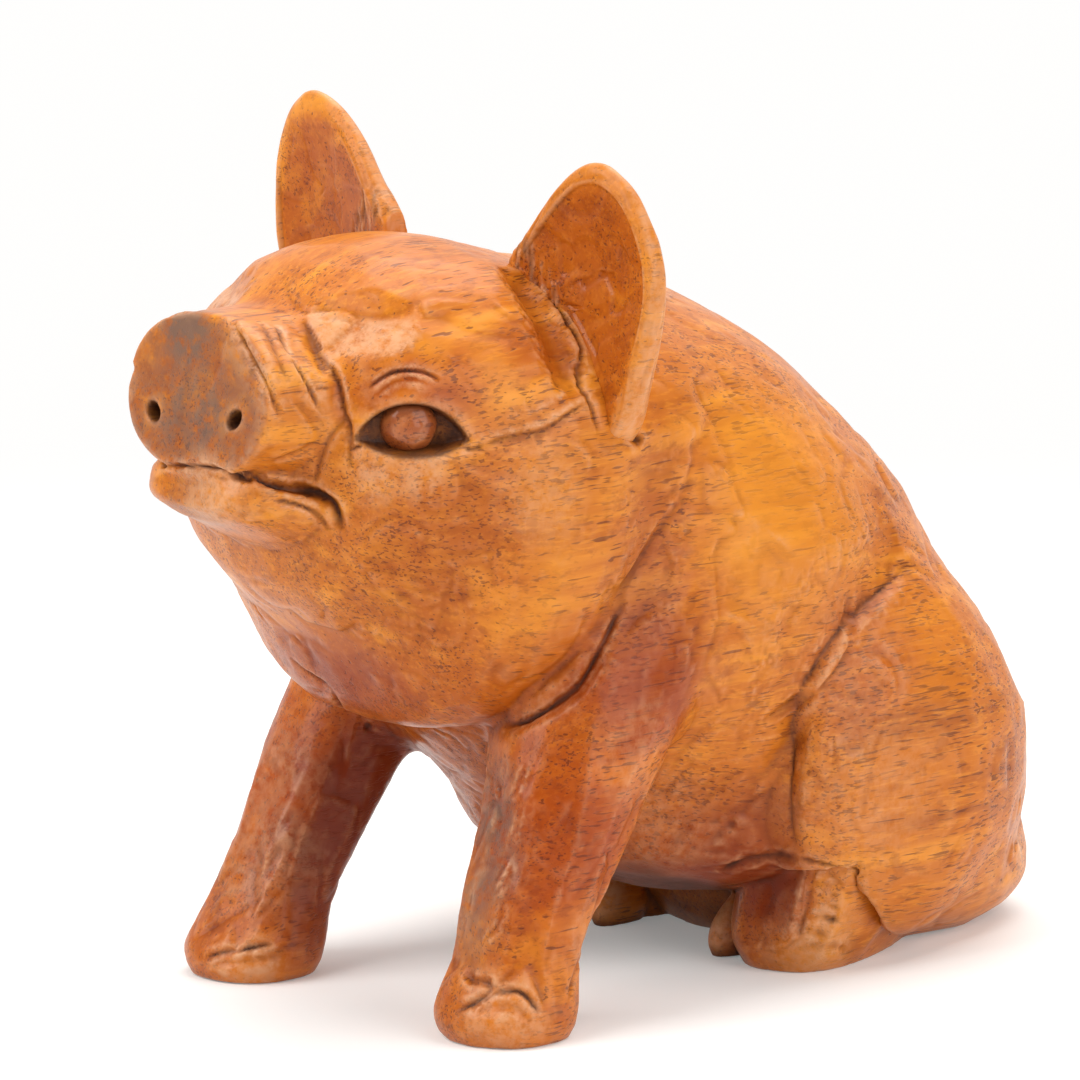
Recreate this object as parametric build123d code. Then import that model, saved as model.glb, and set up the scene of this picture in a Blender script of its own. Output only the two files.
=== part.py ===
from build123d import *
import math
import os

# A hand-carved wooden pig, sitting on its haunches with its front legs straight.
# Millimetres. The pig faces -Y, its left side is +X and it sits on z = 0.
# The origin is on the ground under the middle of its length, on its plane of symmetry.
# Body, head, snout, lip and legs are one block of wood. The ears are leaves let into slots
# in the head and held by a bamboo pin each, the eyes are beads pressed into their sockets,
# and the tail is a curled twig with its root in a blind hole in the rump.

# Reach of the whole figure, from the place where the trunk sections are measured
nose_reach = 57.6
rump_reach = 51.6

# Trunk: level sections stacked from the seat to the withers
trunk_height = 75.0
trunk_length = 80.0
trunk_width = 53.0
belly_clearance = 8.0

# Seat: the flat base of the rump that the figure sits on
seat_height = 22.0
seat_length = 39.4
seat_width = 46.0
seat_back = 31.3

# Head: upright sections from inside the neck forward to the root of the snout
head_length = 50.0
head_width = 49.0
head_height = 50.0
head_middle_height = 58.0
head_tilt = 11.0

# Snout: a short barrel that ends in a flat disc
snout_length = 16.5
snout_width = 22.6
snout_height = 16.8
snout_flare = 4.0
snout_middle_height = 67.2
snout_front = 56.7
snout_tilt = 9.0
snout_roll = 4.0
snout_edge = 1.0
nostril_width = 2.4
nostril_depth = 2.2
nostril_spacing = 12.6
nostril_drop = 2.2

# Lower lip: a thin wedge under the snout, with the mouth cut in above it
lip_length = 15.6
lip_width = 24.0
lip_height = 10.0
lip_middle_height = 55.4
mouth_gap = 0.6
mouth_width = 21.0
mouth_depth = 11.0
mouth_height = 58.6
mouth_tilt = 20.0

# Front legs, from the sole to the shoulder
arm_height = 58.0
arm_spread = 19.2
arm_reach = 31.8
arm_width = 14.8
arm_depth = 15.2
right_arm_advance = 1.5
right_arm_slant = 7.2
toe_cleft_width = 1.4
toe_cleft_height = 4.5
toe_cleft_depth = 3.0

# Haunches and hind feet
haunch_radius = 19.9
haunch_swell = 12.8
haunch_spread = 15.4
haunch_back = 21.1
haunch_height = 21.4
haunch_fullness = 2.7
hind_foot_height = 14.6
hind_foot_length = 26.0
hind_foot_width = 13.8
hind_foot_spread = 13.5
hind_foot_back = 19.3
hind_foot_turn = 21.0
inner_toe_height = 6.6
inner_toe_length = 7.2
inner_toe_width = 3.6
inner_toe_spread = 9.4
inner_toe_back = 9.8
foot_crease = 0.5

# Knife cuts: how far the blade's wedge stands out of the wood, how wide it is there, and how
# far its edge goes under the straight line between the cut's ends
knife_reach = 4.0
knife_width = 4.2
knife_depth = 0.35

# Ears: upright leaves, dished in front, turned a little outward
ear_height = 30.5
ear_width = 20.1
ear_thickness = 3.6
ear_taper = 6.3
ear_base_height = 59.0
ear_spread = 20.1
ear_reach = 20.0
ear_turn = 6.0
ear_dish_depth = 1.3
ear_dish_radius = 30.0
ear_dish_height = 17.0
right_ear_rise = 3.0
right_ear_lean = 6.0
right_ear_inset = 1.4
right_ear_advance = 0.8
pin_diameter = 1.6
pin_length = 9.0
pin_height = 11.5
pin_slope = 35.0

# Eyes: beads at the bottom of an almond-shaped socket
eye_diameter = 6.0
eye_spread = 15.4
eye_reach = 41.8
eye_height = 64.4
eye_turn = 59.0
socket_length = 12.0
socket_height = 6.2
socket_depth = 4.6
socket_proud = 1.2

# Tail: a curl that lies on the rump
tail_root_diameter = 3.4
tail_tip_diameter = 1.8
tail_curl_radius = 3.6
tail_height = 27.0
tail_back = 47.8
tail_root_length = 6.0
tail_slope = 12.0
tail_sweep = 250.0

# Shares of the sizes above, chosen by hand from the carving.
# Trunk rows: height, middle behind the origin, half width, half depth, fullness
TRUNK_SHARES = [
    (0.000, 0.262, 0.330, 0.270, 2.1),
    (0.045, 0.245, 0.415, 0.355, 2.1),
    (0.150, 0.213, 0.448, 0.411, 2.1),
    (0.320, 0.120, 0.474, 0.463, 2.1),
    (0.480, 0.043, 0.490, 0.466, 2.0),
    (0.625, -0.018, 0.470, 0.442, 2.0),
    (0.770, -0.077, 0.424, 0.367, 2.0),
    (0.880, -0.118, 0.340, 0.291, 2.0),
    (0.950, -0.138, 0.226, 0.200, 2.0),
]
# Seat rows: height, half width, half depth, fullness
SEAT_SHARES = [
    (0.00, 0.370, 0.430, 2.2),
    (0.10, 0.440, 0.487, 2.2),
    (0.45, 0.480, 0.500, 2.1),
    (1.00, 0.400, 0.340, 2.1),
]
# Head rows: forward, middle height, half width, rise, drop, fullness above and below
HEAD_SHARES = [
    (0.00, 0.966, 0.290, 0.230, 0.320, 2.0, 2.2),
    (0.16, 0.985, 0.430, 0.335, 0.500, 2.0, 2.6),
    (0.40, 0.997, 0.500, 0.395, 0.570, 2.1, 2.8),
    (0.60, 1.009, 0.490, 0.438, 0.550, 2.2, 2.5),
    (0.76, 1.043, 0.425, 0.408, 0.405, 2.3, 2.25),
    (0.90, 1.095, 0.345, 0.305, 0.328, 2.3, 2.3),
    (1.00, 1.138, 0.200, 0.160, 0.195, 2.2, 2.2),
]
# Lip rows: forward, middle height, half width, rise, drop
LIP_SHARES = [
    (0.00, 0.984, 0.500, 0.42, 0.60),
    (0.50, 1.007, 0.440, 0.38, 0.45),
    (0.80, 1.022, 0.350, 0.29, 0.25),
    (1.00, 1.029, 0.250, 0.10, 0.10),
]
# Front leg rows: height, spread, reach, half width, half depth
FRONT_LEG_SHARES = [
    (0.000, 1.000, 1.000, 0.425, 0.425),
    (0.026, 1.000, 1.005, 0.468, 0.468),
    (0.103, 1.000, 0.976, 0.448, 0.440),
    (0.241, 0.995, 0.880, 0.442, 0.480),
    (0.414, 0.985, 0.733, 0.495, 0.575),
    (0.586, 0.890, 0.560, 0.600, 0.710),
    (0.724, 0.780, 0.445, 0.600, 0.740),
    (0.862, 0.610, 0.380, 0.500, 0.650),
    (1.000, 0.400, 0.320, 0.260, 0.360),
]
# Hind foot rows: height, drawn back, set outward, half width, half length
HIND_FOOT_SHARES = [
    (0.00, -0.02, 0.00, 0.470, 0.490),
    (0.10, -0.03, 0.02, 0.510, 0.520),
    (0.45, -0.03, 0.08, 0.560, 0.525),
    (0.80, -0.02, 0.12, 0.550, 0.510),
    (1.00, 0.02, 0.10, 0.330, 0.360),
]
# Inner toe rows: height, drawn back, set outward, half width, half length
INNER_TOE_SHARES = [
    (0.00, 0.00, 0.00, 0.420, 0.450),
    (0.15, 0.00, 0.00, 0.500, 0.500),
    (0.70, 0.06, 0.00, 0.440, 0.420),
    (1.00, 0.14, 0.00, 0.200, 0.220),
]
# Knife cuts on each side of the head, from end to end: outward as a share of the head's width,
# forward as one of the nose's reach and up as one of the trunk's height
KNIFE_CUT_SHARES = [
    ((0.130, 0.945, 1.000), (0.460, 0.957, 0.880)),
    ((0.230, 0.882, 0.990), (0.486, 0.875, 0.883)),
    ((0.510, 0.842, 0.930), (0.574, 0.848, 0.800)),
    ((0.340, 0.896, 0.779), (0.540, 0.856, 0.750)),
    ((0.604, 0.808, 0.916), (0.740, 0.695, 0.922)),
    ((0.850, 0.656, 0.830), (0.956, 0.450, 0.872)),
]
# Ear outline: outward and up, round the leaf from the inner foot of the tongue
EAR_OUTLINE_SHARES = [
    (-0.570, 0.570),
    (-0.330, 0.390),
    (-0.210, 0.220),
    (-0.060, 0.030),
    (0.175, 0.050),
    (0.330, 0.300),
    (0.415, 0.540),
    (0.385, 0.740),
    (0.230, 0.915),
    (-0.020, 0.990),
    (-0.280, 0.880),
    (-0.500, 0.700),
]
# Ear layers: through the thickness, and how much of the full leaf each one is
EAR_RIM_SHARES = [(-0.50, 0.90), (-0.34, 0.98), (0.00, 1.00), (0.34, 0.98), (0.50, 0.90)]
ear_middle_share = -0.05
ear_waist_share = 0.5
OUTLINE_POINTS = 12
barrel_fullness = 2.2
mouth_fullness = 4.0
tail_sections = 7


def fore_aft(reach):
    """The y of something that lies this far behind the trunk's own zero."""
    return reach + (nose_reach - rump_reach) / 2


def carved_section(half_width, rise, drop, fullness, lower_fullness):
    """A closed superellipse whose upper and lower halves may differ in height and fullness."""
    points = []
    for step in range(OUTLINE_POINTS):
        angle = 2 * math.pi * step / OUTLINE_POINTS
        across, up = math.cos(angle), math.sin(angle)
        height, full = (rise, fullness) if up >= 0 else (drop, lower_fullness)
        points.append((
            half_width * math.copysign(abs(across) ** (2 / full), across),
            height * math.copysign(abs(up) ** (2 / full), up),
        ))
    return make_face(Spline(*points, periodic=True))


def level_section(x, y, z, half_width, half_depth, fullness):
    """A carved section that lies level at the height z."""
    return Plane((x, y, z)) * carved_section(half_width, half_depth, half_depth, fullness, fullness)


def upright_section(y, z, tilt, half_width, rise, drop, fullness, lower_fullness):
    """A carved section that faces forward and leans its top back by the tilt."""
    plane = Plane((0, y, z), x_dir=(1, 0, 0), z_dir=(0, -1, 0)).rotated((-tilt, 0, 0))
    return plane * carved_section(half_width, rise, drop, fullness, lower_fullness)


def trunk():
    """Back, chest and belly, which rise from over the seat to the withers."""
    rise = trunk_height - belly_clearance
    return loft([
        level_section(
            0,
            fore_aft(middle * trunk_length),
            belly_clearance + height * rise,
            half_width * trunk_width,
            half_depth * trunk_length,
            fullness,
        )
        for height, middle, half_width, half_depth, fullness in TRUNK_SHARES
    ])


def seat():
    """The rump's base, cut flat where the figure sits."""
    return loft([
        level_section(
            0,
            fore_aft(seat_back),
            height * seat_height,
            half_width * seat_width,
            half_depth * seat_length,
            fullness,
        )
        for height, half_width, half_depth, fullness in SEAT_SHARES
    ])


def head():
    """Skull and jowls, from inside the neck to the root of the snout."""
    return loft([
        upright_section(
            fore_aft(-forward * head_length),
            middle * head_middle_height,
            head_tilt,
            half_width * head_width,
            rise * head_height,
            drop * head_height,
            fullness,
            lower_fullness,
        )
        for forward, middle, half_width, rise, drop, fullness, lower_fullness in HEAD_SHARES
    ])


def snout_plane(behind):
    """The plane of the snout's disc, moved back along the snout."""
    front = Plane(
        (0, fore_aft(-snout_front), snout_middle_height), x_dir=(1, 0, 0), z_dir=(0, -1, 0)
    ).rotated((-snout_tilt, 0, 0))
    return front.offset(-behind)


def snout():
    """A barrel that narrows towards its flat disc, with a softened rim."""
    sections = []
    for behind in (snout_length, snout_length / 2, 0):
        flare = snout_flare * (behind / snout_length) ** 2
        half_height = snout_height / 2 + flare
        sections.append(snout_plane(behind) * carved_section(
            snout_width / 2 + flare, half_height, half_height, barrel_fullness, barrel_fullness
        ))
    barrel = loft(sections)
    disc = barrel.faces().sort_by(Axis.Y)[0]
    return fillet(disc.edges(), snout_edge)


def nostril(side):
    """A tapered pit drilled square to the disc, on a line that isn't quite level."""
    place = snout_plane(0) * Rot(0, 0, snout_roll) * Pos(side * nostril_spacing / 2, -nostril_drop, 0)
    pit = Cone(nostril_width / 4, nostril_width / 2, nostril_depth * 2)
    return place * pit


def lower_lip():
    """A wedge that comes forward under the snout."""
    lip_back = nose_reach - lip_length
    return loft([
        upright_section(
            fore_aft(-(lip_back + forward * lip_length)),
            middle * lip_middle_height,
            head_tilt,
            half_width * lip_width,
            rise * lip_height,
            drop * lip_height,
            barrel_fullness,
            barrel_fullness,
        )
        for forward, middle, half_width, rise, drop in LIP_SHARES
    ])


def mouth():
    """A thin curved saw cut that parts the lip from the snout and ends in the cheeks."""
    opening = carved_section(mouth_width / 2, mouth_depth, mouth_depth, mouth_fullness, mouth_fullness)
    place = Pos(0, fore_aft(-nose_reach), mouth_height) * Rot(-mouth_tilt, 0, 0)
    return place * extrude(opening, mouth_gap / 2, both=True)


def front_leg(side):
    """A straight leg from the sole up to the shoulder; the right foot is set further forward."""
    advance, slant = (right_arm_advance, right_arm_slant) if side < 0 else (0, 0)
    return loft([
        level_section(
            side * spread * arm_spread,
            fore_aft(-reach * arm_reach - advance + height * slant),
            height * arm_height,
            half_width * arm_width,
            half_depth * arm_depth,
            barrel_fullness,
        )
        for height, spread, reach, half_width, half_depth in FRONT_LEG_SHARES
    ])


def toe_cleft(side):
    """The notch that divides a front foot into two toes."""
    toe_front = fore_aft(-arm_reach - arm_depth / 2 - (right_arm_advance if side < 0 else 0))
    place = Pos(side * arm_spread, toe_front, 0)
    return place * extrude(
        make_face(Polyline(
            (-toe_cleft_width / 2, -toe_cleft_depth),
            (toe_cleft_width / 2, -toe_cleft_depth),
            (0, toe_cleft_depth),
            close=True,
        )),
        toe_cleft_height,
    )


def haunch(side):
    """A thigh turned about a crosswise axis, fuller than a ball towards its rim."""
    power = 2 / haunch_fullness
    profile = []
    for step in range(OUTLINE_POINTS // 2 + 1):
        angle = math.pi * step / OUTLINE_POINTS
        profile.append((
            haunch_radius * math.cos(angle) ** power if step < OUTLINE_POINTS // 2 else 0,
            haunch_swell * math.sin(angle) ** power,
        ))
    half = make_face(Spline(*profile) + Polyline(profile[-1], (0, 0), profile[0]))
    turned = revolve(half, Axis.Y)
    whole = turned + mirror(turned, Plane.XZ)
    place = Pos(side * haunch_spread, fore_aft(haunch_back), haunch_height) * Rot(0, 0, 90)
    return place * whole


def lying_block(shares, side, width, length, height):
    """A low rounded block on the ground, leaning out as it rises, with its middle at the origin."""
    return loft([
        level_section(
            side * out * width,
            back * length,
            rise * height,
            half_width * width,
            half_length * length,
            barrel_fullness,
        )
        for rise, back, out, half_width, half_length in shares
    ])


def hind_foot(side, room):
    """A foot that lies flat beside the belly with its toes turned out, with room left round it."""
    foot = lying_block(
        HIND_FOOT_SHARES,
        side,
        hind_foot_width + 2 * room,
        hind_foot_length + 2 * room,
        hind_foot_height + room,
    )
    return Pos(side * hind_foot_spread, fore_aft(hind_foot_back), 0) * Rot(0, 0, side * hind_foot_turn) * foot


def inner_toe(side):
    """The small toe on a hind foot's inner side."""
    toe = lying_block(INNER_TOE_SHARES, side, inner_toe_width, inner_toe_length, inner_toe_height)
    return Pos(side * inner_toe_spread, fore_aft(inner_toe_back), 0) * toe


def knife_cut(side, ends):
    """A vee along the straight line between two places on the skin, so it runs out at both."""
    first, last = (
        Vector(side * out * head_width / 2, fore_aft(-ahead * nose_reach), up * trunk_height)
        for out, ahead, up in ends
    )
    run = last - first
    away = (first + last) / 2 - Vector(0, first.Y, head_middle_height)
    away -= run * (away.dot(run) / run.dot(run))
    wedge = make_face(Polyline(
        (-knife_depth, 0),
        (knife_reach, knife_width / 2),
        (knife_reach, -knife_width / 2),
        close=True,
    ))
    return Plane(first, x_dir=away, z_dir=run) * extrude(wedge, run.length)


def ear_place(side):
    """The foot of an ear's middle line: X outward, Y back and Z up for either side."""
    lean, inset, advance = (right_ear_lean, right_ear_inset, right_ear_advance) if side < 0 else (0, 0, 0)
    return (
        Pos(side * (ear_spread - inset), fore_aft(-ear_reach - advance), ear_base_height)
        * Rot(0, side * lean, side * ear_turn)
    )


def ear(side):
    """A leaf carved in layers, so that its rims are round, thicker at its root and dished in front."""
    height = ear_height + (right_ear_rise if side < 0 else 0)
    layers = []
    for through, size in EAR_RIM_SHARES:
        outline = [
            (
                side * ear_width * (ear_middle_share + size * (out - ear_middle_share)),
                height * (ear_waist_share + size * (up - ear_waist_share)),
            )
            for out, up in EAR_OUTLINE_SHARES
        ]
        layer = make_face(Spline(*outline, periodic=True))
        tilted = Pos(0, 0, height / 2) * Rot(-through * ear_taper, 0, 0) * Pos(0, 0, -height / 2)
        layers.append(tilted * (Plane.XZ.offset(through * ear_thickness) * layer))
    dish_centre = -ear_thickness / 2 - ear_dish_radius + ear_dish_depth
    dish = Pos(0, dish_centre, ear_dish_height) * Sphere(ear_dish_radius)
    return ear_place(side) * (loft(layers) - dish)


def ear_pin(side):
    """A bamboo pin that runs from the ear's tongue down into the head."""
    pin = Cylinder(pin_diameter / 2, pin_length)
    return ear_place(side) * Pos(-side * ear_width / 4, 0, pin_height) * Rot(0, side * (90 - pin_slope), 0) * pin


def eye_place(side):
    """The middle of an eye, with Z out along its line of sight."""
    middle = Pos(side * eye_spread, fore_aft(-eye_reach), eye_height)
    return middle * Rot(0, 0, side * eye_turn) * Rot(90, 0, 0)


def eye(side):
    """A round bead."""
    return eye_place(side) * Sphere(eye_diameter / 2)


def eye_socket(side):
    """An almond hollow round the bead, in the outline that two overlapping circles share."""
    half_length, half_height = socket_length / 2, socket_height / 2
    ball = (half_length ** 2 + half_height ** 2) / (2 * half_height)
    almond = (
        Pos(0, ball - half_height, 0) * Circle(ball)
        & Pos(0, half_height - ball, 0) * Circle(ball)
    )
    return eye_place(side) * Pos(0, 0, socket_proud) * extrude(almond, socket_depth)


def tail():
    """A tapering curl that lies on the rump, with a straight root that goes into it."""
    peg = Pos(0, -tail_root_length / 2, tail_curl_radius) * Rot(90, 0, 0) * Cylinder(
        tail_root_diameter / 2, tail_root_length
    )
    rings = []
    for step in range(tail_sections):
        share = step / (tail_sections - 1)
        radius = (tail_root_diameter + share * (tail_tip_diameter - tail_root_diameter)) / 2
        ring = Pos(0, 0, tail_curl_radius) * Rot(0, 90, 0) * Circle(radius)
        rings.append(Rot(0, share * tail_sweep, 0) * ring)
    place = Pos(0, fore_aft(tail_back), tail_height) * Rot(tail_slope, 0, 0)
    return place * (loft(rings) + peg)


def carved_body(others):
    """The one block: every mass fused, cut flat at the ground, and cut out for what it holds."""
    masses = [trunk(), seat(), head(), snout(), lower_lip()]
    for side in (1, -1):
        thigh = haunch(side) - hind_foot(side, foot_crease)
        masses += [front_leg(side), thigh, hind_foot(side, 0), inner_toe(side)]
    block = masses[0].fuse(*masses[1:])
    ground = Pos(0, 0, -trunk_height / 2) * Box(trunk_length * 3, trunk_length * 3, trunk_height)
    cuts = [ground, mouth()]
    for side in (1, -1):
        cuts += [nostril(side), toe_cleft(side), eye_socket(side)]
        cuts += [knife_cut(side, ends) for ends in KNIFE_CUT_SHARES]
    return block.cut(*cuts).cut(*others)


def main():
    """Build every piece and write one STEP file each."""
    pieces = {
        "ear_left": ear(1),
        "ear_right": ear(-1),
        "eye_left": eye(1),
        "eye_right": eye(-1),
        "tail": tail(),
    }
    pins = {"ear_pin_left": ear_pin(1), "ear_pin_right": ear_pin(-1)}
    body = carved_body(list(pieces.values()) + list(pins.values()))
    pieces["ear_left"] -= pins["ear_pin_left"]
    pieces["ear_right"] -= pins["ear_pin_right"]
    os.makedirs("parts", exist_ok=True)
    for name, piece in {"carved_body": body, **pieces, **pins}.items():
        export_step(piece, f"parts/{name}.step")


main()
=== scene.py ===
"""A hand-carved, waxed wooden pig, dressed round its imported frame.

The block is worked the way a carver works it: the masses are roughed out and run into each
other, the sockets, mouth and clefts are cut in, and then single knife and gouge strokes are
laid over the skin. The ears, eyes and tail are pieces of their own, as in the frame.
Lengths are millimetres until a mesh is made, and metres from there.
"""
import logging
import math
from dataclasses import dataclass, field
from enum import Enum

import bpy
import numpy as np
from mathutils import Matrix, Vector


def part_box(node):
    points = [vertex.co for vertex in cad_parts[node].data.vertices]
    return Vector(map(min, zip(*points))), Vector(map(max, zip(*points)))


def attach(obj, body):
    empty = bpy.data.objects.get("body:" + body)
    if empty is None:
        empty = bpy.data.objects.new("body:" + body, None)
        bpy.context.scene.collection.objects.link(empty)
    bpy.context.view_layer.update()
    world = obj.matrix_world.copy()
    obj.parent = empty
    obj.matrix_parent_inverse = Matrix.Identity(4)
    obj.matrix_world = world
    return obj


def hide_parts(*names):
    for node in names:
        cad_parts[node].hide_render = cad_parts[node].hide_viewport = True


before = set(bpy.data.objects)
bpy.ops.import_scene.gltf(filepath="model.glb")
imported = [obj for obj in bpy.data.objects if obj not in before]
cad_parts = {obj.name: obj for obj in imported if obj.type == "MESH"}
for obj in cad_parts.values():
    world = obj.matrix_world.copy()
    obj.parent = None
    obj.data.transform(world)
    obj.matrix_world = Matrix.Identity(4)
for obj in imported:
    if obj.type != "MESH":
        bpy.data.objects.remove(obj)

import openvdb
from mathutils import Matrix, Vector
from mathutils.bvhtree import BVHTree

LOG = logging.getLogger("carving")
Pixel = tuple[float, float]
Color = tuple[float, float, float, float]
MM = 0.001
METRES_TO_MM = 1000.0
FAR = 20.0
TINY = 1e-6
HIT_SPAN = 80.0
HIT_STEPS = 60
TRIANGLE_LIMIT = 192000
HASH_PRIMES = (73856093, 19349663, 83492791)
HASH_SPREAD = 1274126177
# Marks carried on the mesh, in order: painted shade with dark wax in cuts, worn wood with painted
# highlights, lighter and darker tone that is mostly painted light and shade, redder wood and painted shade,
# and greyer wood.
MARKS = ("cut", "worn", "tone", "red", "grey")
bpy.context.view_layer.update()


class Profile(Enum):
    """The section that a stroke leaves in the wood."""

    VEE = "a knife cut with straight walls"
    GOUGE = "a soft round hollow"
    STEP = "one steep wall and one that fades out"


class Side(Enum):
    """Which flank of the pig a stroke belongs to."""

    SEEN = "only where the photograph shows it"
    BOTH = "there and mirrored"


def cubic_rows(knots: np.ndarray, rows: np.ndarray, at: np.ndarray) -> np.ndarray:
    """A natural cubic through rows of values, evaluated at many places at once.

    Args:
        knots: increasing places of the rows, shape (k,).
        rows: the values there, shape (k, c).
        at: where to read them; places outside the knots take the end rows.

    Returns:
        The values, shape (len(at), c).
    """
    count = len(knots)
    step = np.diff(knots)
    system = np.eye(count)
    inner = np.arange(1, count - 1)
    system[inner, inner - 1] = step[:-1]
    system[inner, inner] = 2 * (step[:-1] + step[1:])
    system[inner, inner + 1] = step[1:]
    slope = np.diff(rows, axis=0) / step[:, None]
    right = np.zeros_like(rows)
    right[1:-1] = 6 * np.diff(slope, axis=0)
    bend = np.linalg.solve(system, right)
    place = np.clip(at, knots[0], knots[-1])
    index = np.clip(np.searchsorted(knots, place) - 1, 0, count - 2)
    span = step[index][:, None]
    late = ((place - knots[index]) / step[index])[:, None]
    early = 1 - late
    return (
        early * rows[index] + late * rows[index + 1]
        + ((early ** 3 - early) * bend[index] + (late ** 3 - late) * bend[index + 1]) * span ** 2 / 6
    )


def smooth_min(first: np.ndarray, second: np.ndarray, blend: np.ndarray | float) -> np.ndarray:
    """Two masses run together: the lower field, less a fillet that fades out at the blend distance.

    Args:
        first: distances to one mass.
        second: distances to the other.
        blend: how near to each other they must come to flow together.

    Returns:
        The distances to both as one.
    """
    reach = np.maximum(blend, TINY)
    near = np.maximum(reach - np.abs(first - second), 0) / reach
    return np.minimum(first, second) - near * near * reach * 0.25


def smooth_step(low: float, high: float, value: np.ndarray) -> np.ndarray:
    """0 below low, 1 above high and an S-shaped rise between."""
    share = np.clip((value - low) / (high - low), 0, 1)
    return share * share * (3 - 2 * share)


def rotation(axis: int, degrees: float) -> np.ndarray:
    """The matrix that turns points about an axis, 0 to 2, by the right-hand rule.

    Args:
        axis: 0 for x, 1 for y and 2 for z.
        degrees: how far to turn.

    Returns:
        The matrix, shape (3, 3).
    """
    cosine, sine = math.cos(math.radians(degrees)), math.sin(math.radians(degrees))
    first, second = (axis + 1) % 3, (axis + 2) % 3
    made = np.eye(3)
    made[first, first] = made[second, second] = cosine
    made[first, second], made[second, first] = -sine, sine
    return made


def sized(shares: np.ndarray, scales: tuple[float, ...], *shifts: np.ndarray | float) -> np.ndarray:
    """Sections in millimetres from a table of shares.

    Args:
        shares: one row for each section.
        scales: what each column is multiplied by.
        shifts: what is then added to the first columns, one value or a value for each row.

    Returns:
        The sections, in a table of the same shape.
    """
    rows = shares * scales
    for column, shift in enumerate(shifts):
        rows[:, column] += shift
    return rows


def segment_gaps(points: np.ndarray, start: np.ndarray, run: np.ndarray) -> tuple[np.ndarray, ...]:
    """How each point lies to each of many line segments.

    Args:
        points: the places, shape (n, d).
        start: where the segments start, shape (k, d).
        run: from there to their ends, shape (k, d).

    Returns:
        The offsets from the starts, the shares of the segments at which they come nearest, and
        the distances there.
    """
    offset = points[:, None, :] - start[None]
    share = np.sum(offset * run, axis=2) / np.maximum(np.sum(run * run, axis=1), TINY)
    share = np.clip(share, 0, 1)
    return offset, share, np.linalg.norm(offset - share[..., None] * run, axis=2)


def lattice_noise(points: np.ndarray, cell: float, seed: int) -> np.ndarray:
    """Gradient noise: random slopes on a lattice, faded into each other; about -1 to 1.

    Args:
        points: places in millimetres, shape (n, 3).
        cell: the lattice's pitch in millimetres.
        seed: which of the endless lattices to use.

    Returns:
        One value for each point.
    """
    scaled = points / cell + seed * 17.31
    base = np.floor(scaled).astype(np.int64)
    part = scaled - base
    fade = part * part * part * (part * (part * 6 - 15) + 10)
    total = np.zeros(len(points))
    for corner in np.ndindex(2, 2, 2):
        mixed = np.bitwise_xor.reduce((base + corner) * HASH_PRIMES, axis=1)
        mixed = (mixed ^ (mixed >> 13)) * HASH_SPREAD
        slopes = np.stack([((mixed >> shift) & 1023) / 511.5 - 1 for shift in (3, 11, 19)], axis=1)
        weight = np.prod(np.where(corner, fade, 1 - fade), axis=1)
        total += weight * np.sum(slopes * (part - corner), axis=1)
    return total * 1.6


@dataclass(frozen=True)
class PhotoView:
    """The camera that took the photograph, and the way from its pixels to places on the wood."""

    azimuth: float = 48.0
    elevation: float = 11.3
    distance: float = 1000.0
    target: tuple[float, float, float] = (0.0, 3.0, 45.0)
    target_pixel: Pixel = (610.0, 536.0)
    picture: float = 1080.0
    focal_pixels: float = 9500.0
    sensor: float = 36.0

    def axes(self) -> tuple[np.ndarray, np.ndarray, np.ndarray]:
        """The camera's right, up and viewing directions.

        Returns:
            Three unit vectors.
        """
        turn, rise = math.radians(self.azimuth), math.radians(self.elevation)
        right = np.array([math.cos(turn), math.sin(turn), 0])
        up = np.array([
            -math.sin(turn) * math.sin(rise), math.cos(turn) * math.sin(rise), math.cos(rise)
        ])
        ahead = np.array([
            -math.sin(turn) * math.cos(rise), math.cos(turn) * math.cos(rise), -math.sin(rise)
        ])
        return right, up, ahead

    def place(self) -> np.ndarray:
        """Where the camera stands: it looks square, and is moved sideways to frame the pig.

        Returns:
            The camera's place in millimetres.
        """
        right, up, ahead = self.axes()
        scale = self.distance / self.focal_pixels
        across = (self.target_pixel[0] - self.picture / 2) * scale
        above = (self.picture / 2 - self.target_pixel[1]) * scale
        return np.array(self.target) - right * across - up * above - ahead * self.distance

    def ray(self, pixel: Pixel) -> np.ndarray:
        """The direction in which the camera sees a pixel of the photograph.

        Args:
            pixel: across and down from the photograph's top left corner.

        Returns:
            A unit vector.
        """
        right, up, ahead = self.axes()
        across = (pixel[0] - self.picture / 2) / self.focal_pixels
        above = (self.picture / 2 - pixel[1]) / self.focal_pixels
        way = ahead + right * across + up * above
        return way / np.linalg.norm(way)

    def pixels(self, points: np.ndarray) -> np.ndarray:
        """Where points are seen in the photograph, shape (n, 2).

        Args:
            points: places in millimetres, shape (n, 3).

        Returns:
            Across and down for each point.
        """
        right, up, ahead = self.axes()
        seen = points - self.place()
        depth = seen @ ahead
        return np.stack([
            self.picture / 2 + seen @ right / depth * self.focal_pixels,
            self.picture / 2 - seen @ up / depth * self.focal_pixels,
        ], axis=1)

    def camera(self) -> bpy.types.Object:
        """Make the scene's camera.

        Returns:
            The camera, linked and made the scene's own.
        """
        right, up, ahead = self.axes()
        data = bpy.data.cameras.new("camera")
        data.sensor_width = self.sensor
        data.lens = self.focal_pixels / self.picture * self.sensor
        data.clip_start, data.clip_end = 0.01, 10
        made = placed("camera", data)
        turned = Matrix(np.stack([right, up, -ahead], axis=1).tolist()).to_4x4()
        made.matrix_world = Matrix.Translation(Vector(self.place() * MM)) @ turned
        bpy.context.scene.camera = made
        return made


VIEW = PhotoView()


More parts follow.
